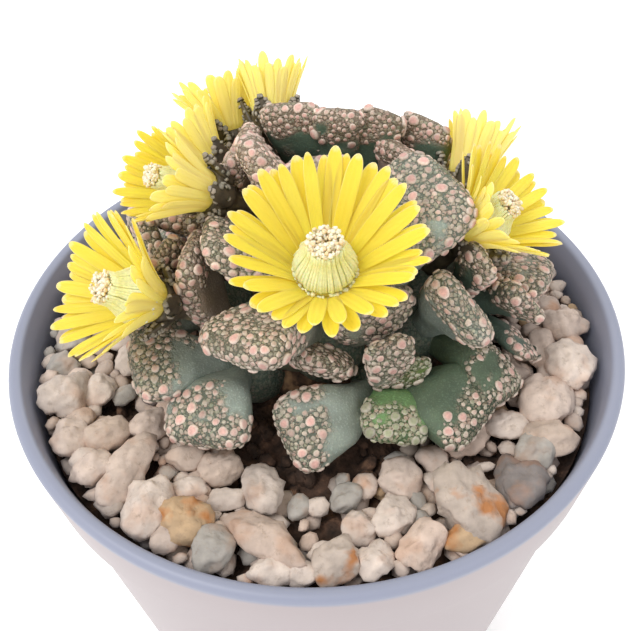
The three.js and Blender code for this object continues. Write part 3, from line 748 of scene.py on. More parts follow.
def limy_warts():
    """Warts of lime and dead skin: dry, chalky and matt. Their feet are the leaf's green, darkened
    as painted shade where they meet the skin, their rims pale, and their flat tops salmon pink
    on the largest, beige on the middling and grey on the least."""
    material, tree, shader = start_material("Limy wart crust, chalky")
    place = add_node(tree, "ShaderNodeTexCoord").outputs["Object"]
    tone = add_node(tree, "ShaderNodeAttribute", attribute_name="tone").outputs["Fac"]
    height = add_node(tree, "ShaderNodeAttribute", attribute_name="height").outputs["Fac"]
    foot = add_node(tree, "ShaderNodeAttribute", attribute_name="skin_colour").outputs["Color"]
    top = add_node(tree, "ShaderNodeValToRGB", {"Fac": tone}, stops=[
        (0, linear("#CE9F95")),
        (0.3, linear("#C6A498")),
        (0.55, linear("#B8A496")),
        (0.8, linear("#A6A08E")),
        (1, linear("#989C7C")),
    ])
    rim = add_node(tree, "ShaderNodeMix", {
        "Factor": tone, "A": opaque(linear("#D2BFB2")), "B": opaque(linear("#B2AC9C")),
    }, data_type="RGBA")
    high = add_node(tree, "ShaderNodeMapRange", {"Value": height, "From Min": 0.7, "From Max": 1})
    crown = add_node(tree, "ShaderNodeMix", {"Factor": high, "A": rim, "B": top}, data_type="RGBA")
    dim = add_node(tree, "ShaderNodeAttribute", attribute_name="shade").outputs["Fac"]
    lit = add_node(tree, "ShaderNodeVectorMath", {0: crown, 3: dim}, operation="SCALE")
    # Painted shade: each wart's foot is the leaf's colour darkened, where it meets the skin.
    dark = add_node(tree, "ShaderNodeVectorMath", {0: foot, 1: (0.36, 0.36, 0.3)}, operation="MULTIPLY")
    low = add_node(tree, "ShaderNodeMapRange", {"Value": height, "From Min": 0.05, "From Max": 0.4})
    body = add_node(tree, "ShaderNodeMix", {"Factor": low, "A": dark, "B": lit}, data_type="RGBA")
    grain = add_node(tree, "ShaderNodeTexNoise", {"Vector": place, "Scale": cells_of(0.3), "Detail": 4})
    light = add_node(tree, "ShaderNodeMapRange", {
        "Value": grain, "From Min": 0.3, "From Max": 0.7, "To Min": 0.82, "To Max": 1.14,
    })
    colour = add_node(tree, "ShaderNodeVectorMath", {0: body, 3: light}, operation="SCALE")
    bump = add_node(tree, "ShaderNodeBump", {"Height": grain, "Strength": 0.4, "Distance": 0.00008})
    set_inputs(shader, {"Base Color": colour, "Normal": bump, "Roughness": 0.8})
    return material


def silky_petal(settings):
    """Petals: thin silky tissue, clear yellow, greener at the foot and golden at the tip, with
    fine lengthwise veins and a pale, thin edge round the tip. A little light comes through, and a
    painted glow and a painted paler outer face stand in for more of it."""
    material, tree, shader = start_material("Petal, silky")
    place = add_node(tree, "ShaderNodeTexCoord").outputs["Object"]
    along = add_node(tree, "ShaderNodeAttribute", attribute_name="along").outputs["Fac"]
    across = add_node(tree, "ShaderNodeAttribute", attribute_name="across").outputs["Fac"]
    tone = add_node(tree, "ShaderNodeAttribute", attribute_name="tone").outputs["Fac"]
    length = add_node(tree, "ShaderNodeValToRGB", {"Fac": along}, stops=[
        (0, linear("#DAD64E")),
        (0.2, linear("#F0E24A")),
        (0.45, opaque(settings.petal_colour)),
        (0.75, opaque(settings.petal_colour)),
        (1, opaque(settings.tip_colour)),
    ])
    golden = add_node(tree, "ShaderNodeMix", {
        "Factor": tone, "A": length, "B": opaque(linear("#E7C93A")),
    }, data_type="RGBA")
    wobble = add_node(tree, "ShaderNodeTexNoise", {"Vector": place, "Scale": cells_of(2), "Detail": 2})
    veins = add_node(tree, "ShaderNodeMath", {0: across, 1: 9, 2: wobble}, operation="MULTIPLY_ADD")
    vein = add_node(tree, "ShaderNodeMath", {0: veins}, operation="SINE")
    lined = add_node(tree, "ShaderNodeMapRange", {
        "Value": vein, "From Min": 0.2, "From Max": 1, "To Max": 0.16,
    })
    veined = add_node(tree, "ShaderNodeMix", {
        "Factor": lined, "A": golden, "B": opaque(linear("#DCCA3C")),
    }, data_type="RGBA")
    # The outer face is painted paler than the inner one, and both carry a painted glow, stronger on the
    # outer face: painted light for the light that comes through.
    inner = add_node(tree, "ShaderNodeAttribute", attribute_name="inner").outputs["Fac"]
    painted_pallor = add_node(tree, "ShaderNodeMapRange", {"Value": inner, "To Min": 0.5, "To Max": 0})
    glow = add_node(tree, "ShaderNodeMapRange", {"Value": inner, "To Min": 0.2, "To Max": 0.07})
    faced = add_node(tree, "ShaderNodeMix", {
        "Factor": painted_pallor, "A": veined, "B": opaque(linear("#F8EBA4")),
    }, data_type="RGBA")
    # The thin dry edge round a petal's tip.
    side = add_node(tree, "ShaderNodeMath", {0: across}, operation="ABSOLUTE")
    at_side = add_node(tree, "ShaderNodeMapRange", {"Value": side, "From Min": 0.86, "From Max": 0.98})
    near_tip = add_node(tree, "ShaderNodeMapRange", {"Value": along, "From Min": 0.82, "From Max": 0.94})
    along_side = add_node(tree, "ShaderNodeMath", {0: at_side, 1: near_tip}, operation="MULTIPLY")
    at_tip = add_node(tree, "ShaderNodeMapRange", {"Value": along, "From Min": 0.955, "From Max": 0.985})
    edge = add_node(tree, "ShaderNodeMath", {0: along_side, 1: at_tip}, operation="MAXIMUM")
    dry = add_node(tree, "ShaderNodeMath", {0: edge, 1: 0.85}, operation="MULTIPLY")
    rimmed = add_node(tree, "ShaderNodeMix", {
        "Factor": dry, "A": faced, "B": opaque(settings.edge_colour),
    }, data_type="RGBA")
    bump = add_node(tree, "ShaderNodeBump", {"Height": vein, "Strength": 0.35, "Distance": 0.00005})
    set_inputs(shader, {
        "Base Color": rimmed,
        "Normal": bump,
        # Painted glow: the petal is no lamp.
        "Emission Strength": glow,
        "Emission Color": opaque(linear("#F6DE62")),
        "Roughness": 0.5,
        "Subsurface Weight": 0.5,
        "Subsurface Radius": (1, 0.9, 0.3),
        "Subsurface Scale": 0.001,
    })
    return material


def pollen_stamens():
    """Filaments and anthers: pale green, glassy filaments that yellow upwards, and dry, creamy
    anthers dusted with pollen."""
    material, tree, shader = start_material("Stamens, pollen-dusted")
    place = add_node(tree, "ShaderNodeTexCoord").outputs["Object"]
    own = add_node(tree, "ShaderNodeAttribute", attribute_name="stamen_colour").outputs["Color"]
    dust = add_node(tree, "ShaderNodeTexNoise", {"Vector": place, "Scale": cells_of(0.25), "Detail": 3})
    light = add_node(tree, "ShaderNodeMapRange", {
        "Value": dust, "From Min": 0.3, "From Max": 0.7, "To Min": 0.88, "To Max": 1.08,
    })
    colour = add_node(tree, "ShaderNodeVectorMath", {0: own, 3: light}, operation="SCALE")
    bump = add_node(tree, "ShaderNodeBump", {"Height": dust, "Strength": 0.3, "Distance": 0.00005})
    set_inputs(shader, {
        "Base Color": colour,
        "Normal": bump,
        "Roughness": 0.55,
        "Subsurface Weight": 0.2,
        "Subsurface Scale": 0.0008,
    })
    return material


def fleshy_calyx():
    """Calyx skin: fleshy, satin, dark brown-green, clouded with a paler olive."""
    material, tree, shader = start_material("Calyx skin, satin")
    place = add_node(tree, "ShaderNodeTexCoord").outputs["Object"]
    cloud = add_node(tree, "ShaderNodeTexNoise", {"Vector": place, "Scale": cells_of(1.4), "Detail": 4})
    colour = add_node(tree, "ShaderNodeValToRGB", {"Fac": cloud}, stops=[
        (0.35, linear("#3A3329")),
        (0.55, linear("#544B3B")),
        (0.7, linear("#736A52")),
    ])
    bump = add_node(tree, "ShaderNodeBump", {"Height": cloud, "Strength": 0.4, "Distance": 0.0001})
    set_inputs(shader, {"Base Color": colour, "Normal": bump, "Roughness": 0.5})
    return material


# Pot, soil and rootstock.


def inner_radius(height):
    """The pot's inner wall leans as its outer wall does."""
    return RIM_RADIUS - POT["shoulder"] - POT["wall"] + WALL_LEAN * (height + POT["collar"])


def rounded(outline, radius, steps=4):
    """An outline of radius and height whose corners are cut by arcs: each corner becomes points
    (1-t)^2 A + 2t(1-t) C + t^2 B, with A and B at most radius away from the corner C."""
    points = np.asarray(outline, dtype=float)
    rounded_points = [points[:1]]
    t = np.linspace(0, 1, steps)[:, None]
    for before, corner, after in zip(points[:-2], points[1:-1], points[2:]):
        back, ahead = before - corner, after - corner
        reach = min(radius, 0.45 * np.linalg.norm(back), 0.45 * np.linalg.norm(ahead))
        start, finish = corner + reach * unit(back), corner + reach * unit(ahead)
        rounded_points.append((1 - t) ** 2 * start + 2 * t * (1 - t) * corner + t ** 2 * finish)
    rounded_points.append(points[-1:])
    return np.concatenate(rounded_points)


def lathe(outline, sides):
    """A closed surface turned about +Z: (r cos a, r sin a, h) for each radius r and height h of
    the outline, whose first and last points lie on the axis."""
    outline = np.asarray(outline, dtype=float)
    grid = polar(outline[1:-1, 0, None], round_turn(sides), outline[1:-1, 1, None])[None]
    return grid, [0, 0, outline[0, 1]], [0, 0, outline[-1, 1]]


def make_pot(settings):
    """The pot: its section, with rounded corners, turned about +Z, and its floor drilled."""
    base = -RIM_HEIGHT
    inside = base + POT["recess"] + POT["floor"]
    outline = rounded([
        (0, base + POT["recess"]),
        (POT["foot"] - POT["foot_ring"] - POT["edge"], base + POT["recess"]),
        (POT["foot"] - POT["foot_ring"], base),
        (POT["foot"] - POT["edge"], base),
        (POT["foot"], base + POT["edge"]),
        (RIM_RADIUS - POT["shoulder"], -POT["collar"]),
        (RIM_RADIUS - POT["collar_taper"], -POT["collar"]),
        (RIM_RADIUS, -POT["edge"]),
        (RIM_RADIUS - POT["edge"], 0),
        (RIM_RADIUS - POT["lip"], 0),
        (inner_radius(-2), -2),
        (inner_radius(inside), inside),
        (0, inside),
    ], settings.edge_radius)
    wall = tubes(*lathe(outline, POT["sides"]))
    pot = add_piece("pot_shell", [wall], [moulded_plastic(settings)], ["pot"])
    cut_drains(pot, inside)


def cut_drains(pot, inside):
    """Cuts the drain holes out of the floor with cylinders, and removes the cylinders."""
    depth = 4 * POT["floor"]
    outline = [(0, inside - depth / 2), (POT["drain_radius"], inside - depth / 2)]
    outline += [(POT["drain_radius"], inside + depth / 2), (0, inside + depth / 2)]
    grid, first, last = lathe(outline, 24)
    places = polar(POT["drain_ring"], round_turn(POT["drains"]), 0)
    drills = tubes(grid + places[:, None, None], first + places, last + places)
    cutter = add_object("drains", mesh_of("drains", [drills]))
    cut = pot.modifiers.new("drains", "BOOLEAN")
    cut.object = cutter
    cut.operation = "DIFFERENCE"
    cut.solver = "EXACT"
    bpy.context.view_layer.objects.active = pot
    bpy.ops.object.modifier_apply(modifier=cut.name)
    bpy.data.objects.remove(cutter)


def soil_top(radius):
    """The soil lies level, and rises smoothly to a low mound in the middle."""
    rise = 1 - smoothstep(radius, SOIL["mound_radius"], SOIL["mound_foot"])
    return SOIL["top"] + (SOIL["mound"] - SOIL["top"]) * rise


def make_soil(settings):
    """The soil's plug, whose top follows soil_top with bumps added: ripples of three sizes, and
    none of them at the wall."""
    base = -RIM_HEIGHT + POT["recess"] + POT["floor"] + SOIL["floor_gap"]
    top = SOIL["top"]
    edge = inner_radius(top) - SOIL["gap"]
    wall = [(0, base), (inner_radius(base) - SOIL["gap"], base), (edge, top)]
    rings = np.linspace(edge - 0.3, 0.3, settings.rings)
    outline = [*wall, *zip(rings, soil_top(rings)), (0, SOIL["mound"])]
    grid, first, last = lathe(outline, 180)
    upper = smoothstep(grid[..., 2], top - 1, top - 0.2)
    bumps = 0.35 * ripples(grid, 3, 21) + 0.22 * ripples(grid, 1.1, 22) + 0.1 * ripples(grid, 0.5, 23)
    inside = smoothstep(np.hypot(grid[..., 0], grid[..., 1]), edge, edge - 1)
    grid[..., 2] += upper * inside * (bumps - 0.25)
    plug = tubes(grid, first, last)
    crumbs = make_crumbs(settings)
    add_piece("soil_plug", [plug, crumbs], [potting_soil()], ["soil"])


def make_crumbs(settings):
    """Crumbs of bark and peat that lie on the soil: lumps, each a ball squashed at random."""
    random = np.random.default_rng(settings.seed)
    count = settings.crumbs
    around = random.uniform(0, 2 * np.pi, count)
    out = random.uniform(*SOIL["crumb_ring"], count)
    size = random.uniform(*SOIL["crumb_size"], count)
    centres = polar(out, around, soil_top(out) + 0.1 * size)
    return lumps(centres, size, random, rings=3, sides=6, rough=0.3)


def lumps(centres, size, random, rings, sides, rough, **values):
    """Rough balls: each point of a ball is pushed out or in by up to rough, and the ball is
    stretched to about size and turned, both at random."""
    count = len(centres)
    ball = unit_ball(rings, sides) * (1 + rough * random.uniform(-1, 1, (count, rings, sides, 1)))
    stretch = random.uniform(0.6, 1.2, (count, 1, 1, 3)) * np.reshape(size, (count, 1, 1, 1))
    turns = np.stack([turned_to(axis) for axis in unit(random.normal(size=(count, 3)))])
    poles = np.array([[0, 0, -1], [0, 0, 1]]) * stretch[:, 0]
    grid = np.einsum("cij,crsj->crsi", turns, ball * stretch) + centres[:, None, None]
    ends = np.einsum("cij,cej->cei", turns, poles) + centres[:, None]
    return tubes(grid, ends[:, 0], ends[:, 1], **values)


def make_rootstock():
    """A corky dome on a tapering root: an ellipse above its neck and straight lines below it,
    turned about its own axis and roughened by ripples of two sizes."""
    z = CAUDEX["centre"][2]
    outline = [(0, z - CAUDEX["tip"]), (1, z - CAUDEX["tip"]), (CAUDEX["neck"], z - CAUDEX["neck_depth"])]
    up = np.radians(np.linspace(-42, 85, 26))
    outline += list(zip(CAUDEX["radius"] * np.cos(up), z + CAUDEX["rise"] * np.sin(up)))
    outline += [(0, z + CAUDEX["rise"])]
    grid, first, last = lathe(outline, 96)
    centre = np.array([CAUDEX["centre"][0], CAUDEX["centre"][1], 0])
    grid += centre
    out = unit(grid - np.array(CAUDEX["centre"]))
    grid += out * (0.25 * ripples(grid, 2.5, 31) + 0.12 * ripples(grid, 0.9, 32) - 0.2)[..., None]
    dome = tubes(grid, first + centre, last + centre)
    add_piece("rootstock_bark", [dome], [corky_bark()], ["rootstock"])


# Gravel.


def repeating_random(seed):
    """Random numbers from 0 to 1, the same ones as the frame's filler stones were placed by."""
    state = seed
    while True:
        state = (state + 0x6D2B79F5) & 0xFFFFFFFF
        mixed = ((state ^ (state >> 15)) * (state | 1)) & 0xFFFFFFFF
        mixed ^= (mixed + (((mixed ^ (mixed >> 7)) * (mixed | 61)) & 0xFFFFFFFF)) & 0xFFFFFFFF
        yield ((mixed ^ (mixed >> 14)) & 0xFFFFFFFF) / 2 ** 32


def filler_stones():
    """The stones round the ring where the listed ones leave room, as the frame has them."""
    numbers = repeating_random(STONE["seed"])
    taken = [stone[:3] for stone in STONES]
    added = []
    for _ in range(FILLER["tries"]):
        if len(added) == FILLER["count"]:
            break
        around = 2 * math.pi * next(numbers)
        out = FILLER["ring"] + FILLER["spread"] * (next(numbers) - 0.5)
        length = FILLER["size"] * (0.85 + 0.5 * next(numbers))
        breadth = length * (0.65 + 0.25 * next(numbers))
        x, y = out * math.cos(around), out * math.sin(around)
        if all(math.hypot(x - other[0], y - other[1]) > 0.46 * (length + other[2]) for other in taken):
            added.append((x, y, length, breadth, 180 * next(numbers)))
            taken.append((x, y, length))
    return added


def bed_top(radius):
    """The bed of gravel rises in a straight bank towards the pot's wall."""
    return BED["top"] + BED["bank"] * (radius - BED["inner"]) / (BED["outer"] - BED["inner"])


def small_stones(tries, least, most, closeness, taken, random):
    """Stones at random in the spaces that the taken ones leave: any two stand apart by at least
    that share of their lengths together. The ring is even in area, not in radius, and the bare
    patches of soil stay free."""
    bare_x, bare_y, bare_radius = np.array(BARE).T
    spots = np.array([stone[:3] for stone in taken]).reshape(-1, 3)
    added = []
    for _ in range(tries):
        around = random.uniform(0, 2 * np.pi)
        length = random.uniform(least, most)
        out = math.sqrt(random.uniform(18 ** 2, (inner_radius(BED["top"]) - 0.5 * length) ** 2))
        x, y = out * math.cos(around), out * math.sin(around)
        room = np.hypot(spots[:, 0] - x, spots[:, 1] - y) - closeness * (spots[:, 2] + length)
        soil = np.hypot(bare_x - x, bare_y - y) - bare_radius
        if room.min(initial=1) > 0 and soil.min() > 0:
            added.append((x, y, length, length * random.uniform(0.65, 0.95), random.uniform(0, 180)))
            spots = np.vstack([spots, (x, y, length)])
    return added


def chipped_balls(count, rings, sides, random, facets=9, sharpness=24):
    """Balls cut by planes, with rounded edges: along a direction d a ball's surface lies at
    (sum of max(0, n.d / c)^k)^(-1/k), for planes of normal n at distance c, and k is larger the
    sharper its edges are. The last two points of each are its poles."""
    directions = np.concatenate([unit_ball(rings, sides).reshape(-1, 3), [[0, 0, -1], [0, 0, 1]]])
    normals = unit(random.normal(size=(count, facets, 3)))
    distances = random.uniform(0.76, 1.04, (count, facets))
    hardness = random.uniform(0.5 * sharpness, 1.4 * sharpness, (count, 1, 1))
    facing = np.maximum(np.einsum("cfi,di->cdf", normals, directions) / distances[:, None], 1e-3)
    bounds = np.concatenate([facing, np.full((count, len(directions), 1), 0.86)], axis=-1)
    radius = (bounds ** hardness).sum(axis=-1) ** (-1 / hardness[..., 0])
    return directions[None] * radius[..., None]


def stone_centres(x, y, length, breadth, angle, tall, lower):
    """Where the middles of stones lie: sunk a little in the bed, or in one that much lower, and
    moved in where a stone would run into the pot's wall."""
    lie = np.radians(angle) - np.arctan2(y, x)
    reach = STONE["reach"] * np.hypot(length * np.cos(lie), breadth * np.sin(lie))
    inward = np.minimum(1, (inner_radius(BED["top"]) - SOIL["gap"] - reach) / np.hypot(x, y))
    level = bed_top(inward * np.hypot(x, y)) - lower
    return np.stack([x * inward, y * inward, level - STONE["sink"] + tall / 2], axis=-1)


def stone_shapes(stones, colours, stains, rings, sides, seed, lower):
    """Stones: chipped balls, stretched to their length, breadth and thickness, tilted and turned,
    put in their places and roughened by ripples of two sizes."""
    random = np.random.default_rng(seed)
    count = len(stones)
    x, y, length, breadth, angle = np.array([stone[:5] for stone in stones], dtype=float).T
    tall = STONE["thickness"] * breadth
    points = chipped_balls(count, rings, sides, random)
    points *= 0.5 * np.stack([length, breadth, tall], axis=-1)[:, None]
    tilt = np.radians(random.uniform(-STONE["tilt"], STONE["tilt"], count))
    lengthwise, crosswise, upwards = np.moveaxis(points, -1, 0)
    lengthwise, upwards = spun(lengthwise, upwards, tilt[:, None])
    points = np.stack([*spun(lengthwise, crosswise, np.radians(angle)[:, None]), upwards], axis=-1)
    centres = stone_centres(x, y, length, breadth, angle, tall, lower)
    points += centres[:, None]
    out = unit(points - centres[:, None])
    bumps = 0.034 * ripples(points, 2.2, seed + 1) + 0.03 * ripples(points, 0.9, seed + 2)
    points += out * (bumps * breadth[:, None])[..., None]
    grid = points[:, :-2].reshape(count, rings, sides, 3)
    return tubes(
        grid, points[:, -2], points[:, -1],
        stone_colour=np.array(colours)[:, None, None],
        stain=np.array(stains)[:, None, None],
    )


def make_gravel(settings):
    """Large stones, grit in the spaces between them, and a layer of grit below them."""
    random = np.random.default_rng(settings.seed + 1)
    listed = [stone[:5] for stone in STONES]
    large = listed + filler_stones()
    middling = small_stones(settings.tries // 5, 2.6, settings.most, 0.37, large, random)
    fine = small_stones(settings.tries, settings.least, 2.6, 0.34, large + middling, random)
    under = small_stones(settings.tries // 3, 2.2, 3.6, 0.36, [], random)
    names = list(STONE_COLOURS)
    chances = [share for _, share in STONE_COLOURS.values()]
    palette = {name: linear(value) for name, (value, _) in STONE_COLOURS.items()}
    patches = []
    # Each layer: how finely its stones are made, and how far below the bed's top they lie.
    for stones, rings, sides, lower in (
        (large, 20, 28, 0),
        (middling, 9, 14, 0),
        (fine, 5, 8, 0.1),
        (under, 5, 8, 1.5),
    ):
        own = [palette[name] for name in random.choice(names, len(stones), p=chances)]
        stains = list(random.uniform(0, 0.5, len(stones)))
        if stones is large:
            own[:len(STONES)] = [palette[stone[5]] for stone in STONES]
            stains[:len(STONES)] = [0.9 if stone[5] in ("white", "ochre") else 0.25 for stone in STONES]
        tints = random.normal(1, 0.07, (len(stones), 1))
        seed = settings.seed + rings
        patches.append(stone_shapes(stones, own * tints, stains, rings, sides, seed, lower))
    add_piece("gravel_stones", patches, [pumice_grit()], ["gravel"])


# Leaves.


def near_edge(angle):
    """1 on a leaf's side edges, and less the nearer the middles of its faces are."""
    return np.exp(-(np.sin(angle) / 0.3) ** 2)


class Leaf:
    """A leaf's form. A point of its surface is s along it, from 0 at its foot to 1 at its tip,
    and an angle round it, from 0 at its side through 90 on its upper face. It widens from a
    narrow foot to a blunt, thick end whose upper face slopes off:
    crown + along s L + across w(s) |cos a|^p + face (h(s) |sin a|^q - drop(s) + bow(s))."""

    def __init__(self, crown, axis, row, seed):
        """row is a leaf's row in HEADS, and seed picks its dents and bare patches."""
        self.seed = seed
        tip = np.array(row[:3], dtype=float)
        self.width, twist, skin, self.start, bare_turn, self.bare_shift = row[3:]
        colour, self.blush, self.bareness = SKINS[skin]
        self.colour = linear(colour)
        self.bare_side = upward(bare_turn, 90)
        self.crown = crown
        self.length = np.linalg.norm(tip - crown)
        self.along = (tip - crown) / self.length
        face = unit(axis - self.along * (axis @ self.along))
        turn = math.radians(twist)
        self.face = face * math.cos(turn) + np.cross(self.along, face) * math.sin(turn)
        self.across = np.cross(self.face, self.along)
        self.thick = LEAF["thickness"] * self.width

    def section(self, s):
        """Half the width, the heights above and below, and the shift of the middle, at s."""
        blunt = np.maximum(s - LEAF["cap"], 0) / (1 - LEAF["cap"])
        fall = np.maximum(s - LEAF["slope"], 0) / (1 - LEAF["slope"])
        swell = LEAF["foot_depth"] + (1 - LEAF["foot_depth"]) * smoothstep(s, 0.1, 0.7)
        widening = LEAF["foot_width"] + (1 - LEAF["foot_width"]) * smoothstep(s, 0.15, LEAF["widest"])
        taper = (1 - blunt ** LEAF["cap_power"]) ** (1 / LEAF["cap_power"])
        half_width = 0.5 * self.width * widening * taper
        upper = LEAF["upper_share"] * self.thick * swell * np.sqrt(1 - fall ** 2.4)
        lower = (1 - LEAF["upper_share"]) * self.thick * swell * np.sqrt(1 - fall ** 3)
        drop = LEAF["drop"] * self.thick * smoothstep(s, 0.6, 1)
        bow = LEAF["bow"] * self.length * 4 * s * (1 - s)
        return half_width, upper, lower, bow - drop

    def point(self, s, angle):
        """The point of the surface, by the formula above."""
        half_width, upper, lower, shift = self.section(s)
        c, v = np.cos(angle), np.sin(angle)
        side = half_width * np.sign(c) * np.abs(c) ** LEAF["side_power"]
        height = np.where(v > 0, upper, lower) * np.sign(v) * np.abs(v) ** LEAF["height_power"]
        place = self.crown + self.along * (s * self.length)[..., None]
        return place + self.across * side[..., None] + self.face * (height + shift)[..., None]

    def normal(self, s, angle):
        """The outward unit vector, from the surface's slopes along s and round it."""
        step = 1e-3
        round_slope = self.point(s, angle + step) - self.point(s, angle - step)
        low, high = np.maximum(s - step, 0), np.minimum(s + step, 0.9995)
        return unit(np.cross(round_slope, self.point(high, angle) - self.point(low, angle)))

    def surface(self, s, angle):
        """Points of the leaf, swollen and dented a little by ripples, and their normals."""
        points, normals = self.point(s, angle), self.normal(s, angle)
        swelling = 0.2 * ripples(points, 6, self.seed) + 0.05 * ripples(points, 1.6, self.seed + 1) - 0.12
        ends = smoothstep(s, 1, 0.93) * smoothstep(s, 0, 0.1)
        return points + normals * (swelling * ends)[..., None], normals

    def holds(self, points, margin=0.0):
        """Which points lie inside the leaf, or within margin of its surface."""
        away = points - self.crown
        s = away @ self.along / self.length
        within = (s > 0) & (s < 1)
        half_width, upper, lower, shift = self.section(np.clip(s, 0, 0.9995))
        side = np.abs(away @ self.across) / (half_width + margin + 1e-6)
        height = away @ self.face - shift
        height = np.abs(height) / (np.where(height > 0, upper, lower) + margin + 1e-6)
        return within & (side ** (2 / LEAF["side_power"]) + height ** (2 / LEAF["height_power"]) < 1)

    def wartiness(self, s, angle):
        """From 0 on smooth skin to 1 where warts crowd. They reach further down the upper face
        and the edges than the lower face, and leave bare patches away from the edges."""
        under = smoothstep(-np.sin(angle), 0.1, 0.8)
        from_middle = self.point(s, angle) - self.crown - self.along * (s * self.length)[..., None]
        start = self.start + self.bare_shift * (from_middle @ self.bare_side) / (0.5 * self.width)
        start = start + (np.maximum(start, 0.8) - start) * under
        points = self.point(s, angle)
        start = start + 0.07 * ripples(points, 4, self.seed + 2)
        start = start + 0.03 * ripples(points, 1.3, self.seed + 3)
        start = np.clip(start, 0.2, 0.9)
        patches = smoothstep(ripples(points, 3.4, self.seed + 4), self.bareness - 1, self.bareness - 0.7)
        at_edge = np.maximum(near_edge(angle), smoothstep(s, 0.9, 0.96))
        return smoothstep(s, start - 0.03, start + 0.05) * np.maximum(patches, at_edge)


def head_frame(turn, rise):
    """A head's crown on the rootstock's dome, and the way that it leans."""
    around, up = math.radians(turn), math.radians(rise)
    out = np.array([math.cos(around), math.sin(around), 0])
    crown = np.array(CAUDEX["centre"]) + out * CAUDEX["radius"] * math.cos(up)
    crown[2] += CAUDEX["rise"] * math.sin(up)
    return crown, upward(turn, 55 - 0.55 * rise)


def all_leaves():
    """Every leaf, in a dict by head."""
    leaves = {}
    for number, (name, (turn, rise, rows)) in enumerate(HEADS.items()):
        crown, axis = head_frame(turn, rise)
        leaves[name] = [Leaf(crown, axis, row, 100 * number + 2 * place) for place, row in enumerate(rows)]
    return leaves


def leaf_skin(leaf, settings):
    """A leaf's surface, with rings that crowd towards its tip. Between the warts of the pinker
    leaves the skin is dry and tan too."""
    rings, sides = settings.rings, settings.sides
    s = 1 - (1 - np.linspace(0, 1, rings)) ** 1.6
    s = np.clip(s, 0.004, 0.998)[:, None] + np.zeros(sides)
    angle = round_turn(sides) + np.zeros((rings, 1))
    points, _ = leaf.surface(s, angle)
    first = points[0].mean(axis=0)
    last = leaf.point(np.array(0.9995), np.array(0.0))
    warty = leaf.wartiness(s, angle)[None]
    dry = np.clip(2 * leaf.blush - 0.25, 0, 1) * warty[..., None]
    return tubes(
        points[None], first, last,
        skin_colour=blend(leaf.colour, linear("#BEA496"), dry),
        warty=warty,
        **PLAIN,
    )


def wart_spots(leaf, settings, random):
    """Where a leaf's warts stand: for each size, from the largest down, spots are tried at random
    over the warty skin, and kept where they stand clear of those already there. Some sizes keep
    to the leaf's edges, where they stand in rows."""
    s = np.linspace(0.3, 0.995, 90)[:, None] + np.zeros(96)
    angle = round_turn(96) + np.zeros((90, 1))
    points = leaf.point(s, angle)
    step_along = np.linalg.norm(np.diff(points, axis=0, append=points[-1:]), axis=-1)
    step_round = np.linalg.norm(points - np.roll(points, 1, axis=1), axis=-1)
    likely = step_along * step_round * leaf.wartiness(s, angle)
    spots, radii = np.empty((0, 3)), np.empty(0)
    places = []
    for tries, low, high, apart, edges in settings.sizes():
        chance = (likely * near_edge(angle) ** edges).ravel()
        for pick in random.choice(chance.size, tries, p=chance / chance.sum()):
            radius = random.uniform(low, high)
            spot = points.reshape(-1, 3)[pick]
            if len(spots):
                gap = np.linalg.norm(spots - spot, axis=1) - apart * (radii + radius)
                if gap.min() < 0:
                    continue
            spots, radii = np.vstack([spots, spot]), np.append(radii, radius)
            places.append((s.ravel()[pick], angle.ravel()[pick], radius))
    return np.array(places)


def wart_domes(centres, normals, radii, heights, tones, shades, colour, random, sides, rings):
    """Warts: domes of radius r cos(f)^0.55 at height h sin(f)^0.9 over the skin, for f from 0 at
    the foot to 90 degrees at the top, with wavy outlines, their feet sunk in the skin."""
    count = len(centres)
    f = np.linspace(0, (0.82 if rings > 2 else 0.6) * np.pi / 2, rings)
    reach, lift = np.cos(f) ** 0.55, np.sin(f) ** 0.9
    a = round_turn(sides)
    phase = random.uniform(0, 2 * np.pi, (2, count, 1))
    wave = 1 + 0.08 * np.cos(2 * a + phase[0]) + 0.06 * np.cos(3 * a + phase[1])
    # Two directions along the skin, at right angles to each other.
    level = unit(np.cross(normals, [0.31, 0.27, 0.91]))
    steep = np.cross(normals, level)
    round_it = np.cos(a)[:, None] * level[:, None] + np.sin(a)[:, None] * steep[:, None]
    grid = (radii[:, None] * wave)[:, None, :, None] * reach[None, :, None, None] * round_it[:, None]
    rise = heights[:, None] * lift
    rise[:, 0] = -0.45 * radii
    grid = grid + (normals[:, None] * rise[..., None])[:, :, None] + centres[:, None, None]
    first = centres - 0.45 * normals * radii[:, None]
    last = centres + normals * heights[:, None]
    share = np.sin(f)
    return tubes(
        grid, first, last, slot=1,
        skin_colour=colour,
        warty=1,
        tone=tones[:, None, None],
        height=share[None, :, None],
        shade=shades[:, None, None],
    )


def leaf_warts(leaf, others, settings, random):
    """A leaf's warts, without those that another leaf or the soil hides. The larger one is, the
    pinker and, for its width, the lower it is."""
    s, angle, radii = wart_spots(leaf, settings, random).T
    centres, normals = leaf.surface(s, angle)
    hidden = np.zeros(len(s), dtype=bool)
    for other in others:
        hidden |= other.holds(centres, margin=-0.1)
    keep = ~hidden & (centres[:, 2] > SOIL["top"])
    centres, normals, radii = centres[keep], normals[keep], radii[keep]
    centres = centres - 0.12 * normals
    small, large = settings.small_radius, settings.large_radius
    share = np.clip((radii - small) / (large - small), 0, 1)
    tones = np.clip(1 - 1.1 * share - leaf.blush + random.normal(0, 0.14, len(share)), 0, 1)
    shades = np.clip(random.normal(1, 0.1, len(share)), 0.6, 1.3)
    heights = radii * (0.68 - 0.13 * share + 0.07 * random.normal(size=len(radii)))
    patches = []
    for low, high, sides, rings in WART_FACES:
        alike = (radii >= low) & (radii < high)
        if alike.any():
            own = [values[alike] for values in (centres, normals, radii, heights, tones, shades)]
            patches.append(wart_domes(*own, leaf.colour, random, sides, rings))
    return patches


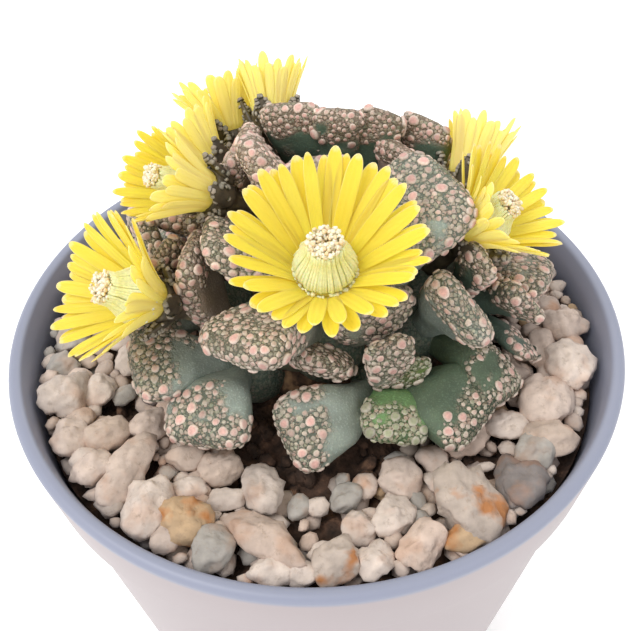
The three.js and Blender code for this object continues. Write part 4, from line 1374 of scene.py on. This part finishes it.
def make_heads(settings):
    """Each head: its core, and its leaves with their warts."""
    leaves = all_leaves()
    every_leaf = [leaf for group in leaves.values() for leaf in group]
    materials = [waxy_skin(), limy_warts()]
    for number, (name, group) in enumerate(leaves.items()):
        random = np.random.default_rng(settings.seed + number)
        crown, axis = head_frame(*HEADS[name][:2])
        patches = [head_core(crown, axis)]
        for leaf in group:
            others = [other for other in every_leaf if other is not leaf]
            patches.append(leaf_skin(leaf, settings))
            patches += leaf_warts(leaf, others, settings, random)
        add_piece(name + "_leaves", patches, materials, [name])


def head_core(crown, axis):
    """The growing point under the leaves: a ball stretched along the head's axis."""
    ball = unit_ball(12, 24) * [CORE["radius"], CORE["radius"], CORE["height"]]
    grid = ball @ turned_to(axis).T + crown
    ends = CORE["height"] * axis
    colour = linear(SKINS["deep"][0])
    return tubes(grid[None], crown - ends, crown + ends, skin_colour=colour, warty=0.3, **PLAIN)


# Flowers.


def petal_path(t, spread, rise):
    """How far out and up a petal's middle line lies, at t from its foot to its tip."""
    out = PETAL["root"] + (spread - PETAL["root"]) * t ** 1.1
    return out, PETAL["root_height"] + (rise - PETAL["root_height"]) * t ** 0.9


def petal_rows(flower, leaves, random):
    """Each petal's angle, spread, rise, tone and roll. They lie in layers, one lower than the
    other. One that would run into a leaf is drawn in and lifted until it is clear, and is left
    out where it never is."""
    rows = []
    t = np.linspace(0.25, 1, 9)
    for i in range(flower.petals):
        around = 2 * math.pi * (i + random.uniform(-0.22, 0.22)) / flower.petals
        own_spread = flower.spread * random.uniform(0.93, 1.06)
        own_rise = flower.rise * PETAL["layers"][i % 4] * random.uniform(0.96, 1.03)
        for _ in range(7):
            out, up = petal_path(t, own_spread, own_rise)
            line = placed(flower, polar(out, around, up))
            if not any(leaf.holds(line, margin=0.25).any() for leaf in leaves):
                rows.append((around, own_spread, own_rise, random.uniform(0, 1), random.normal()))
                break
            own_spread *= 0.88
            own_rise *= 1.02
    return np.array(rows)


def petal_blades(flower, rows, settings):
    """Petals: thin blades whose width is W (0.62 + 0.38 smooth(t)), and closes over the last 0.3
    of the length to a rounded tip, notched a little on some. A blade's section is cupped, by the
    square of how far across it is, creased along its middle and rolled a little to either side,
    and its tip curls up or down by the square of how near it is."""
    around, spread, rise, tone, roll = (column[:, None, None] for column in rows.T)
    rings, sides = 17, 10
    t = 1 - (1 - np.linspace(0, 1, rings)[:, None]) ** 1.7
    a = round_turn(sides)
    cap = np.maximum(1 - (np.maximum(t - 0.7, 0) / 0.3) ** (2.2 + tone), 0.0) ** 0.5
    width = PETAL["width"] * (0.6 + 0.0435 * spread)
    half = 0.5 * width * (0.62 + 0.38 * smoothstep(t, 0, 0.5)) * (0.88 + 0.24 * tone) * cap
    u = np.sign(np.cos(a)) * np.abs(np.cos(a)) ** 0.8
    thick = PETAL["thickness"] * (0.55 + 0.45 * cap)
    cupped = settings.cup * half * u ** 2 - 0.1 * half * np.exp(-(u / 0.25) ** 2)
    rolled = 0.12 * roll * half * u
    normal = 0.5 * thick * np.sin(a) + cupped + rolled
    notched = t - 0.055 * tone * (1 - np.abs(u)) * smoothstep(t, 0.85, 1)
    out, up = petal_path(notched, spread, rise)
    ahead, ahead_up = petal_path(notched + 0.01, spread, rise)
    slope = np.arctan2(ahead_up - up, ahead - out)
    curl = 0.5 * settings.tip_curl * np.maximum(t - 0.7, 0) ** 2 * roll
    radial = out - normal * np.sin(slope)
    height = up + normal * np.cos(slope) + curl
    grid = swung(radial, half * u, height, around)
    return in_flower(
        flower, grid, *end_middles(grid),
        along=np.broadcast_to(t, (len(rows), rings, 1)),
        across=np.broadcast_to(u, (len(rows), 1, sides)),
        inner=np.broadcast_to(0.5 + 0.5 * np.sign(np.sin(a)), (len(rows), 1, sides)),
        tone=np.broadcast_to(tone, (len(rows), 1, 1)),
    )


def placed(flower, grid):
    """Carries points from a flower's own frame, whose axis is +Z, to its place."""
    return np.asarray(grid) @ turned_to(upward(flower.turn, flower.lean)).T + np.array(flower.foot)


def in_flower(flower, grid, first, last, **values):
    """Closed tubes given in a flower's own frame."""
    return tubes(placed(flower, grid), placed(flower, first), placed(flower, last), **values)


def each_flower(settings):
    """Every flower, with its name and random numbers of its own."""
    for number, (name, flower) in enumerate(FLOWERS.items()):
        yield name, flower, np.random.default_rng(settings.seed + number)


def make_petals(settings):
    """Each flower's ring of petals, and the cup that they rise from."""
    leaves = [leaf for group in all_leaves().values() for leaf in group]
    material = silky_petal(settings)
    for name, flower, random in each_flower(settings):
        rows = petal_rows(flower, leaves, random)
        patches = [petal_blades(flower, rows, settings), petal_cup(flower)]
        add_piece(f"petals_{name}", patches, [material], [f"flower_{name}_petals"])


def petal_cup(flower):
    """The small cup that the petals rise from."""
    outline = rounded([(0, 0.3), (1.7, 0.3), (2.1, 1.1), (1.9, 1.4), (0, 1.2)], 0.3)
    # With inner at 0 the cup takes the outer face's painted paler colour and stronger painted glow, which
    # lighten the shade round the cone's foot.
    return in_flower(flower, *lathe(outline, 32), along=0, across=0, inner=0, tone=0.5)


def stamen_radius(t, width):
    """The stamens' cone: it bulges above its foot and narrows to the anthers."""
    tip = STAMENS["tip"] * width / STAMENS["radius"]
    return smoothstep(t, -0.25, 0.28) * (width - (width - tip) * smoothstep(t, 0.3, 0.88))


def make_stamens(settings):
    """Each flower's cone of stamens: a core, two rings of filaments, anthers and staminodes."""
    material = pollen_stamens()
    for name, flower, random in each_flower(settings):
        width = min(STAMENS["radius"], STAMENS["share"] * flower.spread)
        top = STAMENS["top"] * flower.rise
        patches = [stamen_core(flower, width, top)]
        for inset, count in ((0, settings.filaments), (0.35, settings.filaments // 2)):
            patches.append(filaments(flower, width - inset, top, count, random))
        patches.append(anthers(flower, width, top, settings.anthers, random))
        patches.append(staminodes(flower, width, random))
        add_piece(f"stamens_{name}", patches, [material], [f"flower_{name}_stamens"])


def stamen_core(flower, width, top):
    """A pale cone inside the filaments, its top sunk and browner."""
    t = np.linspace(0, 1, 16)
    radius = np.maximum(stamen_radius(t, width) - 0.14, 0.2)
    height = STAMENS["foot"] - 0.6 + (top - STAMENS["foot"]) * t
    sunk = [(0.5 * radius[-1], height[-1] - 0.3), (0, height[-1] - 0.6)]
    grid, first, last = lathe([(0, height[0]), *zip(radius, height), *sunk], 32)
    shade = smoothstep(np.linspace(0, 1, grid.shape[1]), 0.85, 1)[None, :, None, None]
    colour = blend(linear("#E0E4C0"), linear("#E6D0A4"), shade)
    return in_flower(flower, grid, first, last, stamen_colour=colour)


def filaments(flower, width, top, count, random):
    """Filaments: thin tubes that follow the cone from its foot to the anthers, and swerve a little
    on their way up."""
    rings, sides = 7, 5
    around = 2 * np.pi * (np.arange(count) + random.uniform(-0.2, 0.2, count)) / count
    around = around[:, None] + 0.06 * random.normal(size=(count, 1)) * np.linspace(0, 1, rings)
    t = np.linspace(0, 1, rings)[None] * random.uniform(0.93, 1.0, (count, 1))
    out = stamen_radius(t, width) * random.uniform(0.96, 1.03, (count, 1))
    up = STAMENS["foot"] - 0.5 + (top - STAMENS["foot"]) * t
    a = round_turn(sides)
    thin = STAMENS["thread"] - (STAMENS["thread"] - STAMENS["thread_tip"]) * t[..., None]
    radial = out[..., None] + thin * np.sin(a)
    grid = swung(radial, thin * np.cos(a), up[..., None], around[..., None])[:, :, ::-1]
    shade = smoothstep(t, 0.35, 0.8)[..., None, None] + np.zeros((1, 1, sides, 1))
    colour = blend(linear("#EEF2DC"), linear("#F4F0B8"), shade)
    return in_flower(flower, grid, *end_middles(grid), stamen_colour=colour)


def anthers(flower, width, top, count, random):
    """Anthers: small creamy lumps crowded over the top of the cone, lowest in its middle."""
    tip = STAMENS["tip"] * width / STAMENS["radius"]
    around = random.uniform(0, 2 * np.pi, count)
    out = tip * np.sqrt(random.uniform(0, 1.05, count))
    up = top - 0.2 - 0.8 * (out / tip - 0.6) ** 2 + random.uniform(-0.35, 0.35, count)
    centres = polar(out, around, up)
    size = random.uniform(0.17, 0.28, count)
    cream = np.array([linear("#FFF3DA"), linear("#F8E8CA"), linear("#EBD2A8")])
    colour = cream[random.integers(0, 3, count)][:, None, None]
    return lumps(placed(flower, centres), size, random, rings=2, sides=6, rough=0.25, stamen_colour=colour)


def staminodes(flower, width, random):
    """Staminodes: small pale lumps round the foot of the cone, for the short threads there."""
    count = STAMENS["staminodes"]
    around = 2 * np.pi * (np.arange(count) + random.uniform(-0.4, 0.4, count)) / count
    out = (width + 0.08) * random.uniform(0.97, 1.03, count)
    up = STAMENS["foot"] + 0.35 + random.uniform(-0.25, 0.35, count)
    centres = polar(out, around, up)
    size = random.uniform(0.16, 0.3, count)
    colour = np.array(linear("#F6F2D4"))
    return lumps(placed(flower, centres), size, random, rings=3, sides=6, rough=0.2, stamen_colour=colour)


def make_calyxes(settings):
    """Calyxes: a stalk that swells to a cup, and fleshy sepals along the petals' outside, each
    tipped with a few small warts."""
    materials = [fleshy_calyx(), limy_warts()]
    for name, flower, random in each_flower(settings):
        patches = [calyx_cup(flower)] + sepals(flower, random)
        add_piece(f"calyx_{name}", patches, materials, [f"flower_{name}_calyx"])


def calyx_cup(flower):
    """A stalk that swells into a cup: its outline is a radius that rises smoothly from the
    stalk's to the mouth's, and then turns in over the rim and down to the petals' foot."""
    t = np.linspace(0, 1, 24)
    radius = CALYX["stalk"] + (CALYX["mouth"] - CALYX["stalk"]) * smoothstep(t, 0.5, 0.93)
    radius = radius * np.minimum(1, np.sqrt(t / 0.06 + 0.02))
    height = CALYX["depth"] * (t - 1) + CALYX["rim"] * t
    inside = [(CALYX["mouth"] - 0.15, CALYX["rim"] + 0.15), (CALYX["mouth"] - 0.5, CALYX["rim"]), (2, 0.2)]
    outline = [(0, height[0]), *zip(radius, height), *inside, (0, 0.2)]
    return in_flower(flower, *lathe(outline, 40), skin_colour=linear("#48442F"), **PLAIN)


def sepals(flower, random):
    """Sepals: thick lobes that lie along the lowest petals. At s along a lobe its half width is
    W (1 - 0.45 s) sqrt(1 - s^4), and its depth goes the same way."""
    lowest = PETAL["layers"][-1] * flower.rise
    steep = math.atan2(lowest - PETAL["root_height"], flower.spread - PETAL["root"])
    count = CALYX["sepals"]
    rings, sides = 12, 14
    s = np.linspace(0, 0.995, rings)[:, None]
    a = round_turn(sides)
    cap = (1 - 0.45 * s) * np.sqrt(1 - s ** 4)
    side = 0.5 * CALYX["lobe_width"] * cap * np.cos(a)
    depth = 0.5 * CALYX["lobe_depth"] * cap * np.sin(a)
    reach = (CALYX["lobe"] + 1.4) * s - 1.4
    radial = CALYX["mouth"] + 0.1 + reach * math.cos(steep) + depth * math.sin(steep)
    height = CALYX["rim"] - 0.6 + reach * math.sin(steep) - depth * math.cos(steep)
    around = (math.pi / count * (2 * np.arange(count) + 1))[:, None, None]
    # Wrapped round the flower, so that a lobe's edges hug it as its middle does.
    turn = around + side / np.maximum(radial, 2.5)
    grid = polar(radial, turn, height)[:, :, ::-1]
    lobes = in_flower(flower, grid, *end_middles(grid), skin_colour=linear("#5C5A44"), **PLAIN)
    return [lobes, sepal_warts(flower, grid, random)]


def sepal_warts(flower, grid, random):
    """Small dark warts over each sepal, from a quarter of the way along it to its tip."""
    count = CALYX["warts"]
    picks_ring = random.integers(3, 12, (len(grid), count))
    picks_side = random.integers(0, grid.shape[2], (len(grid), count))
    copies = np.arange(len(grid))[:, None]
    spots = grid[copies, picks_ring, picks_side].reshape(-1, 3)
    middles = np.repeat(grid[:, 6].mean(axis=1), count, axis=0)
    outward = unit(spots - middles)
    radii = random.uniform(*CALYX["wart_radius"], len(spots))
    tones = random.uniform(0.6, 1, len(spots))
    shades = random.uniform(0.5, 0.85, len(spots))
    matrix = turned_to(upward(flower.turn, flower.lean))
    domes = wart_domes(
        placed(flower, spots), outward @ matrix.T, radii, 0.6 * radii, tones, shades,
        linear("#5C5A44"), random, 6, 2,
    )
    domes["values"].pop("warty")
    return domes


# Stage, lights and camera.


def make_stage(settings):
    """The floor, the softboxes and the room's own light."""
    floor_mesh = bpy.data.meshes.new("floor")
    half = settings.floor_size / 2
    corners = [(-half, -half, 0), (half, -half, 0), (half, half, 0), (-half, half, 0)]
    floor_mesh.from_pydata(corners, [], [(0, 1, 2, 3)])
    material, _, shader = start_material("Light table, matt white")
    set_inputs(shader, {
        "Base Color": opaque(settings.floor_colour),
        "Roughness": 0.9,
        "Emission Color": opaque(settings.floor_colour),
        "Emission Strength": settings.floor_glow,
    })
    floor_mesh.materials.append(material)
    floor = add_object("floor", floor_mesh)
    floor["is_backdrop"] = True
    for name, (place, size) in SOFTBOXES.items():
        add_softbox(f"{name}_softbox", place, size, getattr(settings, f"{name}_power"))
    world = bpy.data.worlds.new("soft_white_room")
    world.use_nodes = True
    # The room is pure white where the camera sees it, and a little dimmer as a light.
    tree = world.node_tree
    seen = add_node(tree, "ShaderNodeLightPath").outputs["Is Camera Ray"]
    strength = add_node(tree, "ShaderNodeMath", {0: seen, 1: settings.room_light}, operation="MAXIMUM")
    set_inputs(tree.nodes["Background"], {"Color": (1, 1, 1, 1), "Strength": strength})
    bpy.context.scene.world = world
    bpy.context.scene.view_settings.view_transform = "Standard"


def add_softbox(name, place, size, power):
    """A square area light that looks at the plant."""
    light = bpy.data.lights.new(name, "AREA")
    light.size = size
    light.energy = power
    lamp = add_object(name, light)
    lamp.location = place
    towards = Vector((0, 0, RIM_HEIGHT / 1000)) - Vector(place)
    lamp.rotation_euler = towards.to_track_quat("-Z", "Y").to_euler()


def add_camera():
    """The camera looks at the target from in front and above, and is rolled a little."""
    up_angle, roll = math.radians(CAMERA["elevation"]), math.radians(CAMERA["roll"])
    place = CAMERA["distance"] * np.array([0, -math.cos(up_angle), math.sin(up_angle)])
    ahead = unit(np.array(CAMERA["target"]) - place)
    level = unit(np.cross(ahead, [0, 0, 1]))
    above = np.cross(level, ahead)
    right, up = spun(level, above, -roll)
    lens = bpy.data.cameras.new("camera")
    lens.lens = CAMERA["focal_length"]
    lens.sensor_width = CAMERA["sensor_width"]
    lens.sensor_fit = "HORIZONTAL"
    lens.clip_start = 0.001
    camera = add_object("camera", lens)
    columns = [Vector(right), Vector(up), Vector(-ahead), Vector(to_metres(place))]
    camera.matrix_world = Matrix([[column[row] for column in columns] for row in range(3)] + [[0, 0, 0, 1]])
    bpy.context.scene.camera = camera


# Settings, operators and panel.


class PotSettings(bpy.types.PropertyGroup):
    """The pot's colours and edges."""

    rim_colour: bpy.props.FloatVectorProperty(
        name="Rim and inside", description="Colour of the rim and the inner wall",
        subtype="COLOR", size=3, default=linear("#8C90A2"), min=0, max=1)
    # The outer wall's two colours are painted paler and warmer than the rim's, as painted light.
    painted_lit_wall_colour: bpy.props.FloatVectorProperty(
        name="Outer wall", description="Colour of the outer wall",
        subtype="COLOR", size=3, default=linear("#A2989A"), min=0, max=1)
    painted_lit_wall_blush: bpy.props.FloatVectorProperty(
        name="Outer wall, warmer", description="Colour that clouds the outer wall",
        subtype="COLOR", size=3, default=linear("#A89B9C"), min=0, max=1)
    edge_radius: bpy.props.FloatProperty(
        name="Edge radius", description="Radius of the rounded edges, in millimetres",
        default=0.45, min=0.1, max=1)


class SoilSettings(bpy.types.PropertyGroup):
    """How fine the soil's surface is, and its crumbs."""

    rings: bpy.props.IntProperty(
        name="Rings", description="Rings of faces over the soil's top", default=46, min=10, max=200)
    crumbs: bpy.props.IntProperty(
        name="Crumbs", description="Number of loose crumbs", default=420, min=0, max=3000)
    seed: bpy.props.IntProperty(name="Seed", description="Seed of the crumbs' places", default=5)


class GravelSettings(bpy.types.PropertyGroup):
    """The seed of the stones' shapes, and the sizes and number of the grit."""

    seed: bpy.props.IntProperty(name="Seed", description="Seed of the stones' shapes", default=17)
    tries: bpy.props.IntProperty(
        name="Grit tries", description="Places tried for small grit", default=3600, min=0, max=50000)
    least: bpy.props.FloatProperty(
        name="Smallest grit", description="Length of the smallest grit, in millimetres",
        default=1.3, min=0.5)
    most: bpy.props.FloatProperty(
        name="Largest grit", description="Length of the largest small grit, in millimetres",
        default=4.2, min=3)


class LeafSettings(bpy.types.PropertyGroup):
    """How fine the leaves' surfaces are, and their warts."""

    rings: bpy.props.IntProperty(name="Rings", description="Rings of faces along a leaf", default=36, min=8)
    sides: bpy.props.IntProperty(name="Sides", description="Faces round a leaf", default=36, min=8)
    seed: bpy.props.IntProperty(name="Seed", description="Seed of the warts' places", default=41)
    large_radius: bpy.props.FloatProperty(
        name="Largest wart", description="Radius of the largest warts, in millimetres",
        default=0.68, min=0.1)
    small_radius: bpy.props.FloatProperty(
        name="Smallest wart", description="Radius of the smallest warts, in millimetres",
        default=0.17, min=0.05)

    def sizes(self):
        """For each size of wart: how many spots to try, least and largest radius, how far apart
        two stand, as a share of their radii, and how strictly they keep to the leaf's edges."""
        large, small = self.large_radius, self.small_radius
        return [
            (22, 0.78 * large, large, 1.4, 0),
            (100, 0.6 * large, 0.85 * large, 1.02, 1),
            (90, 0.42 * large, 0.7 * large, 1.08, 0),
            (500, 1.5 * small, 2.1 * small, 0.98, 0),
            (1000, 1.1 * small, 1.5 * small, 0.95, 0),
        ]


class FlowerSettings(bpy.types.PropertyGroup):
    """The petals' colours and forms, and the stamens."""

    petal_colour: bpy.props.FloatVectorProperty(
        name="Petal", description="Colour of the petals", subtype="COLOR", size=3,
        default=linear("#E1CF46"), min=0, max=1)
    tip_colour: bpy.props.FloatVectorProperty(
        name="Petal tip", description="Colour of the petals' tips", subtype="COLOR", size=3,
        default=linear("#F0BC34"), min=0, max=1)
    edge_colour: bpy.props.FloatVectorProperty(
        name="Petal edge", description="Colour of the dry edges round the tips", subtype="COLOR", size=3,
        default=linear("#F2D48A"), min=0, max=1)
    cup: bpy.props.FloatProperty(
        name="Cupping", description="How much a petal's edges rise", default=0.22, min=0, max=1)
    tip_curl: bpy.props.FloatProperty(
        name="Tip curl", description="How much petal tips curl up or down", default=3, min=0, max=20)
    filaments: bpy.props.IntProperty(
        name="Filaments", description="Filaments in a flower's outer ring", default=64, min=6)
    anthers: bpy.props.IntProperty(name="Anthers", description="Anthers in a flower", default=190, min=6)
    seed: bpy.props.IntProperty(name="Seed", description="Seed of the petals' differences", default=71)


class StageSettings(bpy.types.PropertyGroup):
    """The floor, the lights and the room."""

    floor_colour: bpy.props.FloatVectorProperty(
        name="Floor", description="Colour of the floor", subtype="COLOR", size=3,
        default=linear("#F6F6F6"), min=0, max=1)
    floor_size: bpy.props.FloatProperty(
        name="Floor size", description="Length of the floor's sides", unit="LENGTH", default=6, min=0.1)
    floor_glow: bpy.props.FloatProperty(
        name="Floor glow", description="Strength of the light that comes through the floor",
        default=0.25, min=0)
    key_power: bpy.props.FloatProperty(name="Key light", description="Power in watts", default=12.9, min=0)
    fill_power: bpy.props.FloatProperty(name="Fill light", description="Power in watts", default=1.9, min=0)
    back_power: bpy.props.FloatProperty(name="Back light", description="Power in watts", default=2.9, min=0)
    room_light: bpy.props.FloatProperty(
        name="Room light", description="Strength of the light from all around", default=0.93, min=0)


class TITANOPSIS_OT_pot(bpy.types.Operator):
    """Make the moulded pot"""

    bl_idname = "titanopsis.pot"
    bl_label = "Pot"

    def execute(self, context):
        make_pot(context.scene.titanopsis_pot)
        return {"FINISHED"}


class TITANOPSIS_OT_soil(bpy.types.Operator):
    """Make the soil with its crumbs"""

    bl_idname = "titanopsis.soil"
    bl_label = "Soil"

    def execute(self, context):
        make_soil(context.scene.titanopsis_soil)
        return {"FINISHED"}


class TITANOPSIS_OT_rootstock(bpy.types.Operator):
    """Make the corky rootstock"""

    bl_idname = "titanopsis.rootstock"
    bl_label = "Rootstock"

    def execute(self, context):
        make_rootstock()
        return {"FINISHED"}


class TITANOPSIS_OT_gravel(bpy.types.Operator):
    """Make the stones and the grit between them"""

    bl_idname = "titanopsis.gravel"
    bl_label = "Gravel"

    def execute(self, context):
        make_gravel(context.scene.titanopsis_gravel)
        return {"FINISHED"}


class TITANOPSIS_OT_heads(bpy.types.Operator):
    """Make the heads of leaves with their warts"""

    bl_idname = "titanopsis.heads"
    bl_label = "Leaf heads"

    def execute(self, context):
        make_heads(context.scene.titanopsis_leaf)
        return {"FINISHED"}


class TITANOPSIS_OT_calyxes(bpy.types.Operator):
    """Make the flowers' calyxes"""

    bl_idname = "titanopsis.calyxes"
    bl_label = "Calyxes"

    def execute(self, context):
        make_calyxes(context.scene.titanopsis_flower)
        return {"FINISHED"}


class TITANOPSIS_OT_petals(bpy.types.Operator):
    """Make the flowers' petals"""

    bl_idname = "titanopsis.petals"
    bl_label = "Petals"

    def execute(self, context):
        make_petals(context.scene.titanopsis_flower)
        return {"FINISHED"}


class TITANOPSIS_OT_stamens(bpy.types.Operator):
    """Make the flowers' stamens"""

    bl_idname = "titanopsis.stamens"
    bl_label = "Stamens"

    def execute(self, context):
        make_stamens(context.scene.titanopsis_flower)
        return {"FINISHED"}


class TITANOPSIS_OT_stage(bpy.types.Operator):
    """Make the floor, the lights and the camera"""

    bl_idname = "titanopsis.stage"
    bl_label = "Stage"

    def execute(self, context):
        make_stage(context.scene.titanopsis_stage)
        add_camera()
        return {"FINISHED"}


OPERATORS = [
    TITANOPSIS_OT_stage,
    TITANOPSIS_OT_pot,
    TITANOPSIS_OT_soil,
    TITANOPSIS_OT_rootstock,
    TITANOPSIS_OT_gravel,
    TITANOPSIS_OT_heads,
    TITANOPSIS_OT_calyxes,
    TITANOPSIS_OT_petals,
    TITANOPSIS_OT_stamens,
]
SETTINGS = {
    "pot": PotSettings,
    "soil": SoilSettings,
    "gravel": GravelSettings,
    "leaf": LeafSettings,
    "flower": FlowerSettings,
    "stage": StageSettings,
}


class TITANOPSIS_PT_pieces(bpy.types.Panel):
    """Lists the pieces and their settings"""

    bl_idname = "TITANOPSIS_PT_pieces"
    bl_label = "Potted titanopsis"
    bl_space_type = "VIEW_3D"
    bl_region_type = "UI"
    bl_category = "Titanopsis"

    def draw(self, context):
        for operator in OPERATORS:
            self.layout.operator(operator.bl_idname)
        for name, group in SETTINGS.items():
            box = self.layout.box()
            box.label(text=name.capitalize())
            for key in group.__annotations__:
                box.prop(getattr(context.scene, f"titanopsis_{name}"), key)


CLASSES = [*SETTINGS.values(), *OPERATORS, TITANOPSIS_PT_pieces]


def register():
    """Registers the classes, and gives each group of settings its place in the scene."""
    for each in CLASSES:
        bpy.utils.register_class(each)
    for name, group in SETTINGS.items():
        setattr(bpy.types.Scene, f"titanopsis_{name}", bpy.props.PointerProperty(type=group))


def unregister():
    """Undoes what register did."""
    for name in SETTINGS:
        delattr(bpy.types.Scene, f"titanopsis_{name}")
    for each in reversed(CLASSES):
        bpy.utils.unregister_class(each)


def main():
    """Makes the stage and all the pieces."""
    register()
    bpy.ops.titanopsis.stage()
    bpy.ops.titanopsis.pot()
    bpy.ops.titanopsis.soil()
    bpy.ops.titanopsis.rootstock()
    bpy.ops.titanopsis.gravel()
    bpy.ops.titanopsis.heads()
    bpy.ops.titanopsis.calyxes()
    bpy.ops.titanopsis.petals()
    bpy.ops.titanopsis.stamens()
    boxes = {"cad": CAD_BOX, "visual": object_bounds()}
    {name: [list(corner) for corner in box] for name, box in boxes.items()}


if __name__ == "__main__":
    main()
